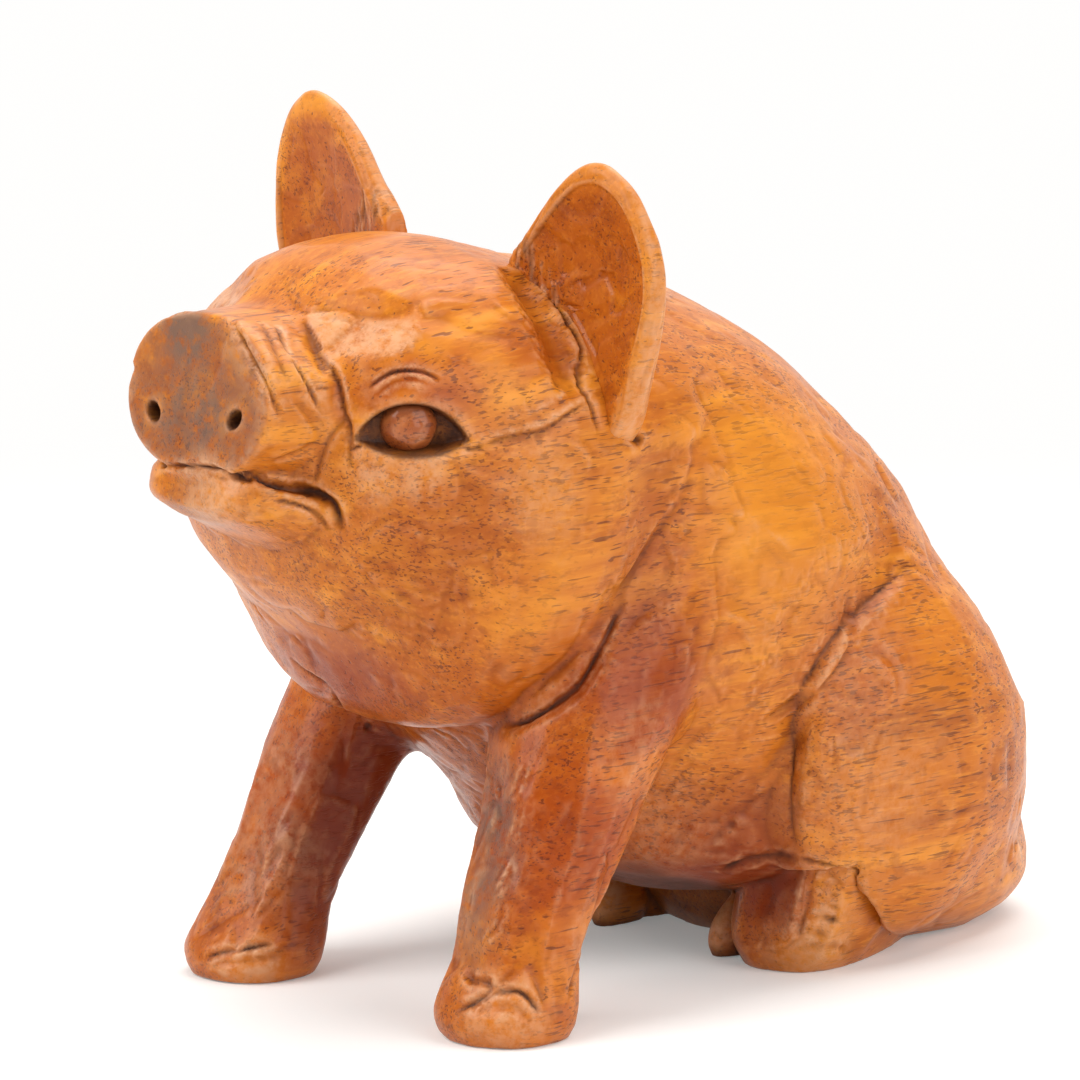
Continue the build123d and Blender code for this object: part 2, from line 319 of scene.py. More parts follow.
@dataclass(frozen=True)
class Stroke:
    """One cut of a knife or gouge, drawn through pixels of the photograph.

    width is half the cut's breadth and depth its depth, in millimetres; shade is how dark the cut
    is painted, painted shade with dark wax, and rim how light its edges are painted, worn wood
    with a painted highlight. ends is the share of the length over which it runs out at each end,
    and ragged how uneven its edge is.
    """

    pixels: tuple[Pixel, ...]
    width: float
    depth: float
    shade: float = 0.6
    rim: float = 0.0
    profile: Profile = Profile.VEE
    side: Side = Side.BOTH
    ends: float = 0.15
    ragged: float = 0.15


@dataclass(frozen=True)
class Facet:
    """A flat that a straight blade left, outlined in pixels of the photograph; pale paints a sheen on it, a
    painted reflection.
    """

    pixels: tuple[Pixel, ...]
    sink: float = 0.1
    soft: float = 30.0
    pale: float = 0.0
    side: Side = Side.BOTH


@dataclass(frozen=True)
class Flat:
    """A flat taken off square to the surface at a pixel; its size follows from how deep it goes."""

    pixel: Pixel
    sink: float = 0.4
    reach: float = 7.0
    side: Side = Side.BOTH


@dataclass(frozen=True)
class Tint:
    """A patch that is lighter (tone above zero) or darker, mostly painted light and shade; red deepens
    painted shade and redder wood, grey is greyer wood, and pale is worn wood with painted sheen.
    """

    pixel: Pixel
    radius: float
    tone: float = 0.0
    red: float = 0.0
    grey: float = 0.0
    pale: float = 0.0
    side: Side = Side.BOTH


def mirrors(side: Side) -> tuple[tuple[int, int, int], ...]:
    """The flips under which a mark is laid."""
    return ((1, 1, 1), (-1, 1, 1)) if side is Side.BOTH else ((1, 1, 1),)


class Skin:
    """A quad mesh in numpy arrays, which is carved, measured and turned into a Blender object.

    The stroke's numbers are shares of its width; the gains of the painted relief shading, shade in hollows
    and highlight on ridges, are per millimetre.
    """

    stroke_reach = 2.2
    stroke_dark = 0.8
    rim_place, rim_width = 1.25, 0.35
    hidden_slope = 0.08
    fine_steps, broad_steps = 5, 40
    # Painted shade in fine hollows and painted highlight on ridges, then broad hollows painted darker and
    # redder and broad bulges lighter.
    cut_gain, cut_most = 5, 0.45
    worn_gain, worn_most = 7, 0.6
    tone_gain, tone_least, tone_most = 0.9, -0.7, 0.5
    red_gain, red_most = 0.8, 0.5

    def __init__(self, points: np.ndarray, quads: np.ndarray) -> None:
        """Keep the arrays and make the quads face outwards.

        Args:
            points: corners in millimetres, shape (n, 3).
            quads: four corner numbers for each face, shape (m, 4).
        """
        self.points = points.astype(np.float64)
        self.quads = quads.astype(np.int64)
        first, second, third = (self.points[self.quads[:, k]] for k in (0, 1, 2))
        if np.sum(first * np.cross(second, third)) < 0:
            self.quads = self.quads[:, ::-1].copy()
        self.ahead = self.quads.ravel()
        self.behind = np.roll(self.quads, -1, axis=1).ravel()
        self.degree = np.maximum(np.bincount(self.ahead, minlength=len(self.points)), 1)
        self.facing = np.zeros_like(self.points)
        self.cut, self.worn, self.tone, self.red, self.grey = np.zeros((len(MARKS), len(self.points)))
        self.tree = BVHTree.FromPolygons(self.points.tolist(), self.quads.tolist())

    def smoothed(self, values: np.ndarray, steps: int) -> np.ndarray:
        """Values drawn half way to the mean of their neighbours, so many times.

        Args:
            values: one row for each corner.
            steps: how often they are drawn together.

        Returns:
            The smoother values, in the same shape.
        """
        count = len(self.points)
        out = values.reshape(count, -1).copy()
        for _ in range(steps):
            for column in range(out.shape[1]):
                around = np.bincount(self.ahead, weights=out[self.behind, column], minlength=count)
                out[:, column] = (out[:, column] + around / self.degree) / 2
        return out.reshape(values.shape)

    def normals(self, steps: int = 0) -> np.ndarray:
        """Unit normals from the faces' diagonals, smoothed over some rings of neighbours.

        Args:
            steps: how many rings of neighbours share them.

        Returns:
            One unit vector for each corner.
        """
        corner = self.points[self.quads]
        face = np.cross(corner[:, 2] - corner[:, 0], corner[:, 3] - corner[:, 1])
        out = np.zeros_like(self.points)
        for column in range(3):
            share = np.repeat(face[:, column], 4)
            out[:, column] = np.bincount(self.ahead, weights=share, minlength=len(self.points))
        out = self.smoothed(out, steps)
        return out / np.maximum(np.linalg.norm(out, axis=1), TINY)[:, None]

    def hit(self, pixel: Pixel) -> np.ndarray:
        """The place on the skin that a pixel of the photograph shows, or the nearest to its ray.

        Args:
            pixel: across and down in the photograph.

        Returns:
            The place in millimetres.
        """
        start, way = VIEW.place(), VIEW.ray(pixel)
        found = self.tree.ray_cast(Vector(start), Vector(way))[0]
        if found is None:
            along = np.linspace(VIEW.distance - HIT_SPAN, VIEW.distance + HIT_SPAN, HIT_STEPS)
            near = [self.tree.find_nearest(Vector(start + way * reach)) for reach in along]
            found = min(near, key=lambda item: item[3])[0]
        return np.array(found)

    def paths(self, stroke: Stroke) -> list[np.ndarray]:
        """A stroke's line on the skin, and the part of its mirror image that the photograph hides.

        Args:
            stroke: the stroke to lay.

        Returns:
            The line's points, and those of its hidden twin if it has one.
        """
        seen = np.array([self.hit(pixel) for pixel in stroke.pixels])
        if len(seen) > 2:
            knots = np.arange(len(seen), dtype=float)
            seen = cubic_rows(knots, seen, np.linspace(0, knots[-1], 4 * len(seen)))
        made = [seen]
        if stroke.side is Side.BOTH:
            ahead = Vector(VIEW.axes()[2])
            found = [self.tree.find_nearest(Vector(place)) for place in seen * (-1, 1, 1)]
            hidden = [np.array(item[0]) for item in found if item[1].dot(ahead) > self.hidden_slope]
            if len(hidden) > 2:
                made.append(np.array(hidden))
        return made

    def nearest(self, path: np.ndarray, reach: float, hand: int) -> tuple[np.ndarray, ...]:
        """The corners that lie near a path, and how they lie to it.

        Args:
            path: the path's points, shape (k, 3).
            reach: how far from it to look, in millimetres.
            hand: -1 for a path that is mirrored.

        Returns:
            The corners' numbers, their distance from the path, how far along it they are from
            0 to 1, and the side of it, -1 or 1.
        """
        inside = np.all(
            (self.points > path.min(0) - reach) & (self.points < path.max(0) + reach), axis=1
        )
        chosen = np.nonzero(inside)[0]
        run = np.diff(path, axis=0)
        length = np.linalg.norm(run, axis=1)
        gone = np.concatenate([[0], np.cumsum(length)])
        offset, share, gap = segment_gaps(self.points[chosen], path[:-1], run)
        best = np.argmin(gap, axis=1)
        row = np.arange(len(chosen))
        along = (gone[best] + share[row, best] * length[best]) / max(gone[-1], TINY)
        away = offset[row, best] - share[row, best, None] * run[best]
        turn = np.sum(np.cross(run[best], self.facing[chosen]) * away, axis=1)
        return chosen, gap[row, best], along, np.where(turn < 0, -hand, hand)

    def carve(self, strokes: tuple[Stroke, ...]) -> None:
        """Lay strokes over the skin: sharp cuts keep the deepest, soft hollows add up. Each paints shade
        into its cut and a highlight along its rims.

        Args:
            strokes: the cuts, in any order.
        """
        self.facing = self.normals(6)
        sharp = np.zeros(len(self.points))
        soft = np.zeros(len(self.points))
        for stroke in strokes:
            for path, hand in zip(self.paths(stroke), (1, -1)):
                chosen, gap, along, side = self.nearest(path, stroke.width * self.stroke_reach, hand)
                place = self.points[chosen]
                uneven = 1 + stroke.ragged * (
                    lattice_noise(place, 1.6, 5) + 0.7 * lattice_noise(place, 0.6, 6)
                )
                share = gap / (stroke.width * np.maximum(uneven, 0.3))
                if stroke.profile is Profile.GOUGE:
                    section = np.clip(1 - share * share, 0, 1) ** 2
                elif stroke.profile is Profile.STEP:
                    section = np.clip(1 - share * np.where(side > 0, 1, 5), 0, 1) ** 1.5
                else:
                    section = np.clip(1 - share, 0, 1)
                ends = max(stroke.ends, TINY)
                fade = np.clip(np.minimum(along, 1 - along) / ends, 0, 1) ** 0.7
                deep = stroke.depth * section * fade
                if stroke.profile is Profile.GOUGE:
                    soft[chosen] += deep
                else:
                    sharp[chosen] = np.maximum(sharp[chosen], deep)
                # Painted shade down the cut, with dark wax, and a painted highlight along its rims, with
                # worn wood.
                patchy = np.clip(0.75 + 0.6 * lattice_noise(place, 2.3, 8), 0.2, 1)
                dark = stroke.shade * fade * patchy * np.clip(1 - share / self.stroke_dark, 0, 1)
                self.cut[chosen] = np.maximum(self.cut[chosen], dark)
                edge = np.exp(-((share - self.rim_place) / self.rim_width) ** 2) * fade * stroke.rim
                self.worn[chosen] = np.maximum(self.worn[chosen], edge)
        self.points -= self.facing * (sharp + soft)[:, None]

    def slice(self, facets: tuple[Facet, ...]) -> None:
        """Cut flats: corners seen inside an outline go down to the plane through its corners. A flat's pale
        share paints a sheen on it, a painted reflection.

        Args:
            facets: the flats to cut.
        """
        facing = self.normals(4)
        for facet in facets:
            outline = np.array(facet.pixels)
            corners = np.array([self.hit(pixel) for pixel in facet.pixels])
            middle = corners.mean(0)
            normal = np.linalg.svd(corners - middle)[2][2]
            normal *= -np.sign(normal @ VIEW.axes()[2])
            for flip in mirrors(facet.side):
                place, look = self.points * flip, facing * flip
                height = (place - middle) @ normal + facet.sink
                near = (np.abs(height) < 8) & (look @ normal > 0.2)
                near &= np.linalg.norm(place - middle, axis=1) < 40
                chosen = np.nonzero(near)[0]
                inside = polygon_depth(VIEW.pixels(place[chosen]), outline)
                drop = np.maximum(height[chosen], 0) * smooth_step(-facet.soft, 0, inside)
                self.points[chosen] -= drop[:, None] * normal * flip
                # Painted reflection: a pale sheen over the flat.
                pale = facet.pale * smooth_step(-6, 3, inside) * (drop > 0)
                self.worn[chosen] = np.maximum(self.worn[chosen], pale)

    def plane_off(self, place: np.ndarray, normal: np.ndarray, reach: float, most: float) -> None:
        """Cut away what stands a little over a plane, and leave what rises further.

        Args:
            place: a point of the plane.
            normal: its direction out of the wood.
            reach: the distance at which the cut has faded out.
            most: the height at which it has.
        """
        offset = self.points - place
        near = np.nonzero(np.all(np.abs(offset) < reach, axis=1))[0]
        height = offset[near] @ normal
        gap = np.linalg.norm(offset[near], axis=1)
        drop = np.maximum(height, 0) * smooth_step(most, 0.6 * most, height)
        drop *= np.clip((reach - gap) / (0.35 * reach), 0, 1)
        self.points[near] -= drop[:, None] * normal

    def flatten(self, flats: tuple[Flat, ...]) -> None:
        """Take flats off along the surface's own slope, as a blade held to it does.

        Args:
            flats: the flats to take off.
        """
        facing = self.normals(12)
        for flat in flats:
            place = self.hit(flat.pixel)
            spots = [place]
            if flat.side is Side.BOTH:
                spots.append(np.array(self.tree.find_nearest(Vector(place * (-1, 1, 1)))[0]))
            for spot in spots:
                close = np.linalg.norm(self.points - spot, axis=1) < flat.reach * 0.3
                normal = facing[close].sum(0)
                normal /= np.linalg.norm(normal)
                self.plane_off(spot - normal * flat.sink, normal, flat.reach, 1.6 * flat.sink)

    def knife(self, spacing: float, sink: float, seed: int, keep: np.ndarray | None = None) -> None:
        """Small flats all over, as a knife leaves them, softened by sanding and wax.

        Args:
            spacing: how far the flats are apart, in millimetres.
            sink: how deep they go.
            seed: which random places they take.
            keep: the share of the cut that each corner takes, where not all of it.
        """
        chance = np.random.default_rng(seed)
        facing, before = self.normals(6), self.points.copy()
        cells = np.floor(self.points / spacing + chance.random(3)).astype(np.int64)
        keys = (cells[:, 0] * 7919 + cells[:, 1]) * 7919 + cells[:, 2]
        order = chance.permutation(len(keys))
        _, first = np.unique(keys[order], return_index=True)
        for number in order[first]:
            normal = facing[number] + chance.normal(0, 0.05, 3)
            normal /= np.linalg.norm(normal)
            deep = sink * chance.uniform(0.3, 1.3)
            self.plane_off(before[number] - normal * deep, normal, spacing * 1.3, 2 * deep)
        moved = self.smoothed(self.points - before, 2)
        self.points = before + (moved if keep is None else moved * keep[:, None])

    def tint(self, tints: tuple[Tint, ...]) -> None:
        """Add patches with soft wavering edges: lighter and darker ones, mostly painted light and shade,
        redder ones, painted shade and redder wood, greyer wood, and pale ones, worn wood and painted sheen.

        Args:
            tints: the patches to add.
        """
        waver = 1 + 0.25 * lattice_noise(self.points, 5, 9)
        for tint in tints:
            middle = self.hit(tint.pixel)
            for flip in mirrors(tint.side):
                gap = np.linalg.norm(self.points - middle * flip, axis=1) / (tint.radius * waver)
                share = np.clip(1 - gap * gap, 0, 1)
                self.tone += tint.tone * share
                self.red += tint.red * share
                self.grey += tint.grey * share
                self.worn = np.maximum(self.worn, tint.pale * share)

    def roughen(self, cell: float, height: float, seed: int, share: np.ndarray | float = 1.0) -> None:
        """Move the skin in and out by gradient noise of a given cell and height."""
        self.points += self.normals(2) * (height * share * lattice_noise(self.points, cell, seed))[:, None]

    def weather(self, cell: float) -> None:
        """Paint shade into hollows and highlights onto ridges by how far the smoothed skin lies above the
        real one.

        Args:
            cell: how coarse the relief is; a larger one darkens and lightens less.
        """
        facing = self.normals(1)
        fine, broad = (
            np.sum((self.smoothed(self.points, steps) - self.points) * facing, axis=1)
            for steps in (self.fine_steps, self.broad_steps)
        )
        # Painted shade in fine hollows and painted highlight on fine ridges.
        self.cut = np.clip(self.cut + np.clip(fine * self.cut_gain / cell, 0, self.cut_most), 0, 1)
        self.worn = np.clip(self.worn + np.clip(-fine * self.worn_gain / cell, 0, self.worn_most), 0, 1)
        # Broad hollows painted darker and redder as shade, broad bulges painted lighter.
        self.tone += np.clip(-broad * self.tone_gain, self.tone_least, self.tone_most)
        self.red += np.clip(broad * self.red_gain, 0, self.red_most)

    def build(self, name: str, node: str) -> bpy.types.Object:
        """Make a Blender object at the origin, smooth-shaded, with the marks as attributes.

        Args:
            name: the piece's name.
            node: the frame's node whose box it stays in.

        Returns:
            The object, thinned to the triangle limit.
        """
        low, high = node_box(node)
        self.points = np.clip(self.points, low, high)
        mesh = bpy.data.meshes.new(name)
        mesh.vertices.add(len(self.points))
        mesh.vertices.foreach_set("co", (self.points * MM).astype(np.float32).ravel())
        mesh.loops.add(self.quads.size)
        mesh.loops.foreach_set("vertex_index", self.quads.astype(np.int32).ravel())
        mesh.polygons.add(len(self.quads))
        mesh.polygons.foreach_set("loop_start", np.arange(0, self.quads.size, 4, dtype=np.int32))
        for mark in MARKS:
            layer = mesh.attributes.new(mark, "FLOAT", "POINT")
            layer.data.foreach_set("value", getattr(self, mark).astype(np.float32))
        mesh.update(calc_edges=True)
        mesh.polygons.foreach_set("use_smooth", np.ones(len(self.quads), dtype=bool))
        made = placed(name, mesh)
        triangles = 2 * len(self.quads)
        if triangles > TRIANGLE_LIMIT:
            thin = made.modifiers.new("thin", "DECIMATE")
            thin.ratio = TRIANGLE_LIMIT / triangles
            graph = bpy.context.evaluated_depsgraph_get()
            fewer = bpy.data.meshes.new_from_object(made.evaluated_get(graph))
            made.modifiers.clear()
            made.data = fewer
            fewer.name = name
            bpy.data.meshes.remove(mesh)
        return made


def polygon_depth(points: np.ndarray, outline: np.ndarray) -> np.ndarray:
    """How far inside a polygon points lie (below zero outside), by even-odd crossings.

    Args:
        points: places in the picture, shape (n, 2).
        outline: the polygon's corners in order.

    Returns:
        The distance to the outline for each point, below zero outside.
    """
    ahead = np.roll(outline, -1, axis=0)
    run = ahead - outline
    gap = segment_gaps(points, outline, run)[2].min(1)
    level = points[:, None, 1]
    crosses = (outline[:, 1] > level) != (ahead[:, 1] > level)
    rise = np.where(np.abs(run[:, 1]) < TINY, TINY, run[:, 1])
    at = outline[:, 0] + (level - outline[:, 1]) / rise * run[:, 0]
    inside = np.sum(crosses & (points[:, None, 0] < at), axis=1) % 2 == 1
    return np.where(inside, gap, -gap)


def placed(name: str, data: bpy.types.ID) -> bpy.types.Object:
    """An object of this data, linked into the scene.

    Args:
        name: what it is called.
        data: its mesh, lamp or camera.

    Returns:
        The object, at the origin.
    """
    made = bpy.data.objects.new(name, data)
    bpy.context.scene.collection.objects.link(made)
    return made


def node_box(node: str) -> tuple[np.ndarray, ...]:
    """The lowest and highest corner of a node's box, in millimetres."""
    return tuple(np.array(corner) * METRES_TO_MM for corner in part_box(node))


def grid_skin(sheet: np.ndarray) -> Skin:
    """A closed skin from a grid of points: columns run round, and both end rows are poles.

    Args:
        sheet: points in millimetres, shape (rows, columns, 3).

    Returns:
        The skin, whose pole faces are quads with two corners at the pole's ring.
    """
    rows, columns = sheet.shape[:2]
    number = np.arange(rows * columns).reshape(rows, columns)
    ring = np.roll(number, -1, axis=1)
    quads = np.stack([number[:-1], ring[:-1], ring[1:], number[1:]], axis=-1).reshape(-1, 4)
    return Skin(sheet.reshape(-1, 3), quads)


@dataclass
class Volume:
    """A block of space sampled on a cubic grid, in which solids are signed distances."""

    low: tuple[float, float, float]
    high: tuple[float, float, float]
    pitch: float

    def __post_init__(self) -> None:
        """Lay out the grid and start it empty."""
        self.axes = [
            np.arange(low, high + self.pitch, self.pitch, dtype=np.float32)
            for low, high in zip(self.low, self.high)
        ]
        self.value = np.full([len(axis) for axis in self.axes], FAR, np.float32)

    def places(self, cuts: tuple[slice, ...] = (slice(None),) * 3) -> tuple[np.ndarray, ...]:
        """Open coordinate arrays of the whole grid, or of a part of it."""
        x, y, z = (axis[cut] for axis, cut in zip(self.axes, cuts))
        return x[:, None, None], y[None, :, None], z[None, None, :]

    def part(self, low: tuple[float, ...], high: tuple[float, ...]) -> tuple:
        """The grid's slices between two corners, and open coordinate arrays in them.

        Args:
            low: the lowest corner.
            high: the highest corner.

        Returns:
            The slices, then x, y and z.
        """
        cuts = tuple(
            slice(*np.searchsorted(axis, (start, stop)))
            for axis, start, stop in zip(self.axes, low, high)
        )
        return cuts, *self.places(cuts)

    def skin(self) -> Skin:
        """The surface at distance zero, as quads.

        Returns:
            The skin, in millimetres.
        """
        grid = openvdb.FloatGrid()
        grid.background = 2.0
        grid.copyFromArray(np.clip(self.value, -2, 2))
        points, quads = grid.convertToQuads(0.0)
        return Skin(points * self.pitch + np.array([axis[0] for axis in self.axes]), quads)


def radial(across: np.ndarray, up: np.ndarray, half: np.ndarray, tall: np.ndarray,
           fullness: np.ndarray | float) -> np.ndarray:
    """Distance to a superellipse along the ray from its middle: the length less the outline's.

    Args:
        across: places along the first half axis.
        up: places along the second.
        half: the first half axis.
        tall: the second half axis.
        fullness: 2 for an ellipse, more for a squarer outline.

    Returns:
        The distances, below zero inside.
    """
    a, b = np.abs(across) + 0.01, np.abs(up) + 0.01
    size = ((a / half) ** fullness + (b / tall) ** fullness) ** (1 / fullness)
    length = np.sqrt(a * a + b * b)
    return length - length / size


@dataclass
class CarvedBlock:
    """Body, head, snout, lip and legs, carved from one block with its grain along the pig."""

    name: str = "body_wood"
    forward_shift: float = 3.0
    nose_reach: float = 57.6
    trunk_height: float = 75.0
    trunk_length: float = 80.0
    trunk_width: float = 53.0
    belly_clearance: float = 8.0
    seat_height: float = 22.0
    seat_length: float = 39.4
    seat_width: float = 46.0
    seat_back: float = 31.3
    head_length: float = 50.0
    head_width: float = 49.0
    head_height: float = 50.0
    head_middle: float = 58.0
    head_tilt: float = 11.0
    skull_cap: float = 9.0
    snout_length: float = 16.5
    snout_width: float = 22.6
    snout_height: float = 16.8
    snout_flare: float = 4.0
    snout_middle: float = 67.2
    snout_front: float = 56.7
    snout_tilt: float = 9.0
    nostril_radius: float = 0.95
    nostril_depth: float = 2.0
    nostril_spacing: float = 12.6
    nostril_drop: float = 2.2
    nostril_roll: float = 0.07
    nostril_taper: float = 0.35
    nostril_shear: float = 0.6
    lip_length: float = 15.6
    lip_width: float = 24.0
    lip_height: float = 10.0
    lip_middle: float = 55.4
    arm_height: float = 58.0
    arm_spread: float = 19.2
    arm_reach: float = 31.8
    arm_width: float = 14.8
    arm_depth: float = 15.2
    right_arm_advance: float = 1.5
    right_arm_slant: float = 7.2
    right_arm_thin: float = 0.55
    haunch_radius: float = 19.9
    haunch_swell: float = 12.8
    haunch_spread: float = 15.4
    haunch_back: float = 21.6
    haunch_height: float = 21.4
    haunch_fullness: float = 3.3
    haunch_fade: float = 1.1
    foot_height: float = 14.6
    foot_length: float = 26.0
    foot_width: float = 13.8
    foot_spread: float = 13.5
    foot_back: float = 19.3
    foot_turn: float = 21.0
    foot_crease: float = 0.5
    inner_toe_spread: float = 9.4
    inner_toe_back: float = 9.8
    eye_spread: float = 15.4
    eye_reach: float = 41.8
    eye_height: float = 64.4
    eye_turn: float = 59.0
    socket_length: float = 12.2
    upper_lid: float = 4.0
    lower_lid: float = 1.5
    lid_drop: float = 1.4
    lid_slant: float = 0.03
    socket_depth: float = 2.6
    socket_slope: float = 0.25
    socket_shoal: float = 0.55
    socket_reach: float = 12.0
    eye_skin: float = 3.1
    edge_rounding: float = 0.5
    seat_blend: float = 5.0
    arm_blend: float = 4.5
    haunch_blend: float = 0.8
    haunch_blend_behind: float = 7.0
    haunch_rounding: float = 1.2
    foot_blend: float = 0.5
    toe_blend: float = 0.4
    lip_blend: float = 1.4
    disc_rounding: float = 1.3
    snout_blend: float = 1.0
    face_blend: float = 1.2
    neck_blend: float = 5.0
    # Painted shade in the nostrils, sockets and under the belly, a painted highlight with wear along the
    # lids, and greyer, redder end grain on the snout's disc.
    nostril_dirt: float = 0.9
    socket_dirt: float = 0.8
    lid_wear: float = 0.35
    belly_dirt: float = 0.8
    disc_grey: float = 0.6
    disc_red: float = 0.35
    # The legs redder and darker, and the low belly and chest painted darker and redder as shade.
    leg_red: float = 0.6
    leg_dark: float = 0.1
    belly_red: float = 0.7
    belly_dark: float = 0.25
    knife_spacing: float = 5.5
    knife_sink: float = 0.13
    margin: float = 7.0
    fine_pitch: float = 0.31
    quick_pitch: float = 0.5
    strokes: tuple[Stroke, ...] = field(default_factory=lambda: BODY_STROKES)
    facets: tuple[Facet, ...] = field(default_factory=lambda: BODY_FACETS)
    flats: tuple[Flat, ...] = field(default_factory=lambda: BODY_FLATS)
    tints: tuple[Tint, ...] = field(default_factory=lambda: BODY_TINTS)

    def level(self, space: Volume, rows: np.ndarray, blend: float, aside: float = 0.0,
              lean: np.ndarray | None = None, turn: float = 0.0) -> None:
        """Run a stack of level sections into the block.

        Args:
            space: the volume to add to.
            rows: height, middle y, half width, half depth and fullness of each section.
            blend: how softly it joins what is there.
            aside: the x of the sections' middles.
            lean: the sections' own x, where they don't share one.
            turn: how far the stack is turned about its own upright, in degrees.
        """
        spread = np.full(len(rows), aside) if lean is None else lean
        room = self.margin + abs(turn) * 0.3
        wide = rows[:, 2].max() + room
        deep = rows[:, 3] + room
        low = (spread.min() - wide, (rows[:, 1] - deep).min(), rows[0, 0] - self.margin)
        high = (spread.max() + wide, (rows[:, 1] + deep).max(), rows[-1, 0] + self.margin)
        cuts, x, y, z = space.part(low, high)
        columns = np.column_stack([spread, rows[:, 1:]])
        read = cubic_rows(rows[:, 0], columns, z.ravel()).astype(np.float32).T
        middle, along, half, tall, fullness = (column[None, None, :] for column in read)
        x, y, angle = x - middle, y - along, math.radians(turn)
        x, y = math.cos(angle) * x + math.sin(angle) * y, math.cos(angle) * y - math.sin(angle) * x
        gap = radial(x, y, half, tall, fullness)
        gap = np.maximum(gap, np.maximum(rows[0, 0] - z, z - rows[-1, 0]))
        space.value[cuts] = smooth_min(space.value[cuts], gap, blend)

    def upright(self, space: Volume, rows: np.ndarray, cap: float = 0.0) -> np.ndarray:
        """Distance to a row of sections that face forward and lean back by the head's tilt.

        Args:
            space: the volume to measure in.
            rows: forward y, middle height, half width, rise, drop, and how full it is above
                and below.
            cap: how softly the hind end's edge is rounded.

        Returns:
            The distances over the whole volume.
        """
        x, y, z = space.places()
        lean = math.radians(self.head_tilt)
        ahead = -math.cos(lean) * y + math.sin(lean) * z
        above = math.sin(lean) * y + math.cos(lean) * z
        place = -math.cos(lean) * rows[:, 0] + math.sin(lean) * rows[:, 1]
        middle = math.sin(lean) * rows[:, 0] + math.cos(lean) * rows[:, 1]
        read = cubic_rows(place, np.column_stack([middle, rows[:, 2:]]), ahead.ravel())
        up, half, rise, drop, fullness, jowl = (
            column.reshape(ahead.shape).astype(np.float32) for column in read.T
        )
        over = above - up
        high = over > 0
        gap = radial(x, over, half, np.where(high, rise, drop), np.where(high, fullness, jowl))
        gap = -smooth_min(-gap, ahead - place[0], cap)
        return np.maximum(gap, ahead - place[-1])

    def trunk(self, space: Volume) -> None:
        """Back, chest and belly, then the flat seat under the rump.

        Args:
            space: the volume to add to.
        """
        rise = self.trunk_height - self.belly_clearance
        self.level(space, sized(
            TRUNK_SHARES, (rise, self.trunk_length, self.trunk_width, self.trunk_length, 1),
            self.belly_clearance, self.forward_shift), 0)
        self.level(space, sized(
            SEAT_SHARES, (self.seat_height, 0, self.seat_width, self.seat_length, 1),
            0, self.seat_back + self.forward_shift), self.seat_blend)

    def legs(self, space: Volume) -> None:
        """Both front legs, from the sole to the shoulder; the right foot is further forward.

        Args:
            space: the volume to add to.
        """
        for side in (1, -1):
            share, right = FRONT_LEG_SHARES[:, 0], side < 0
            thin = self.right_arm_thin * smooth_step(0.05, 0.3, share) * right
            slant = (self.right_arm_slant * share - self.right_arm_advance) * right
            rows = sized(FRONT_LEG_SHARES[:, [0, 2, 3, 4, 5]],
                         (self.arm_height, -self.arm_reach, self.arm_width, self.arm_depth, 1),
                         0, self.forward_shift + slant + thin, -thin, -thin)
            lean = side * (FRONT_LEG_SHARES[:, 1] * self.arm_spread - thin)
            self.level(space, rows, self.arm_blend, lean=lean)

    def haunches(self, space: Volume) -> None:
        """Thighs that flow into the back behind and end in a crease in front.

        Args:
            space: the volume to add to.
        """
        for side in (1, -1):
            middle = (side * self.haunch_spread, self.haunch_back + self.forward_shift, self.haunch_height)
            reach = self.haunch_radius + self.margin
            wide = self.haunch_swell + self.margin
            low = (middle[0] - wide, middle[1] - reach, -1)
            high = (middle[0] + wide, middle[1] + reach, middle[2] + reach)
            cuts, x, y, z = space.part(low, high)
            back, up = y - middle[1], z - middle[2]
            wheel = np.sqrt(back * back + up * up)
            behind = smooth_step(-6, 10, back + 0.35 * up)
            full = self.haunch_fullness - self.haunch_fade * behind
            gap = radial(x - middle[0], wheel, self.haunch_swell, self.haunch_radius - 0.8 * behind, full)
            room = Volume(space.low, space.high, space.pitch)
            self.foot(room, side, self.foot_crease, 0)
            gap = -smooth_min(-gap, room.value[cuts], self.haunch_rounding)
            blend = self.haunch_blend + self.haunch_blend_behind * behind
            space.value[cuts] = smooth_min(space.value[cuts], gap, blend)

    def foot(self, space: Volume, side: int, room: float, blend: float) -> None:
        """Run a hind foot into the block.

        Args:
            space: the volume to add to.
            side: 1 for the left foot and -1 for the right one.
            room: how much larger than the foot it is all round.
            blend: how softly it joins what is there.
        """
        rows = sized(HIND_FOOT_SHARES[:, [0, 1, 3, 4, 5]],
                     (self.foot_height + room, self.foot_length, self.foot_width, self.foot_length, 1),
                     0, self.foot_back + self.forward_shift, room, room)
        lean = side * (self.foot_spread + HIND_FOOT_SHARES[:, 2] * self.foot_width)
        self.level(space, rows, blend, lean=lean, turn=side * self.foot_turn)

    def feet(self, space: Volume) -> None:
        """Hind feet that lie flat and point forward, each with a small inner toe.

        Args:
            space: the volume to add to.
        """
        for side in (1, -1):
            self.foot(space, side, 0, self.foot_blend)
            toe = sized(INNER_TOE_ROWS, (1, 1, 1, 1, 1), 0, self.inner_toe_back + self.forward_shift)
            self.level(space, toe, self.toe_blend, aside=side * self.inner_toe_spread)

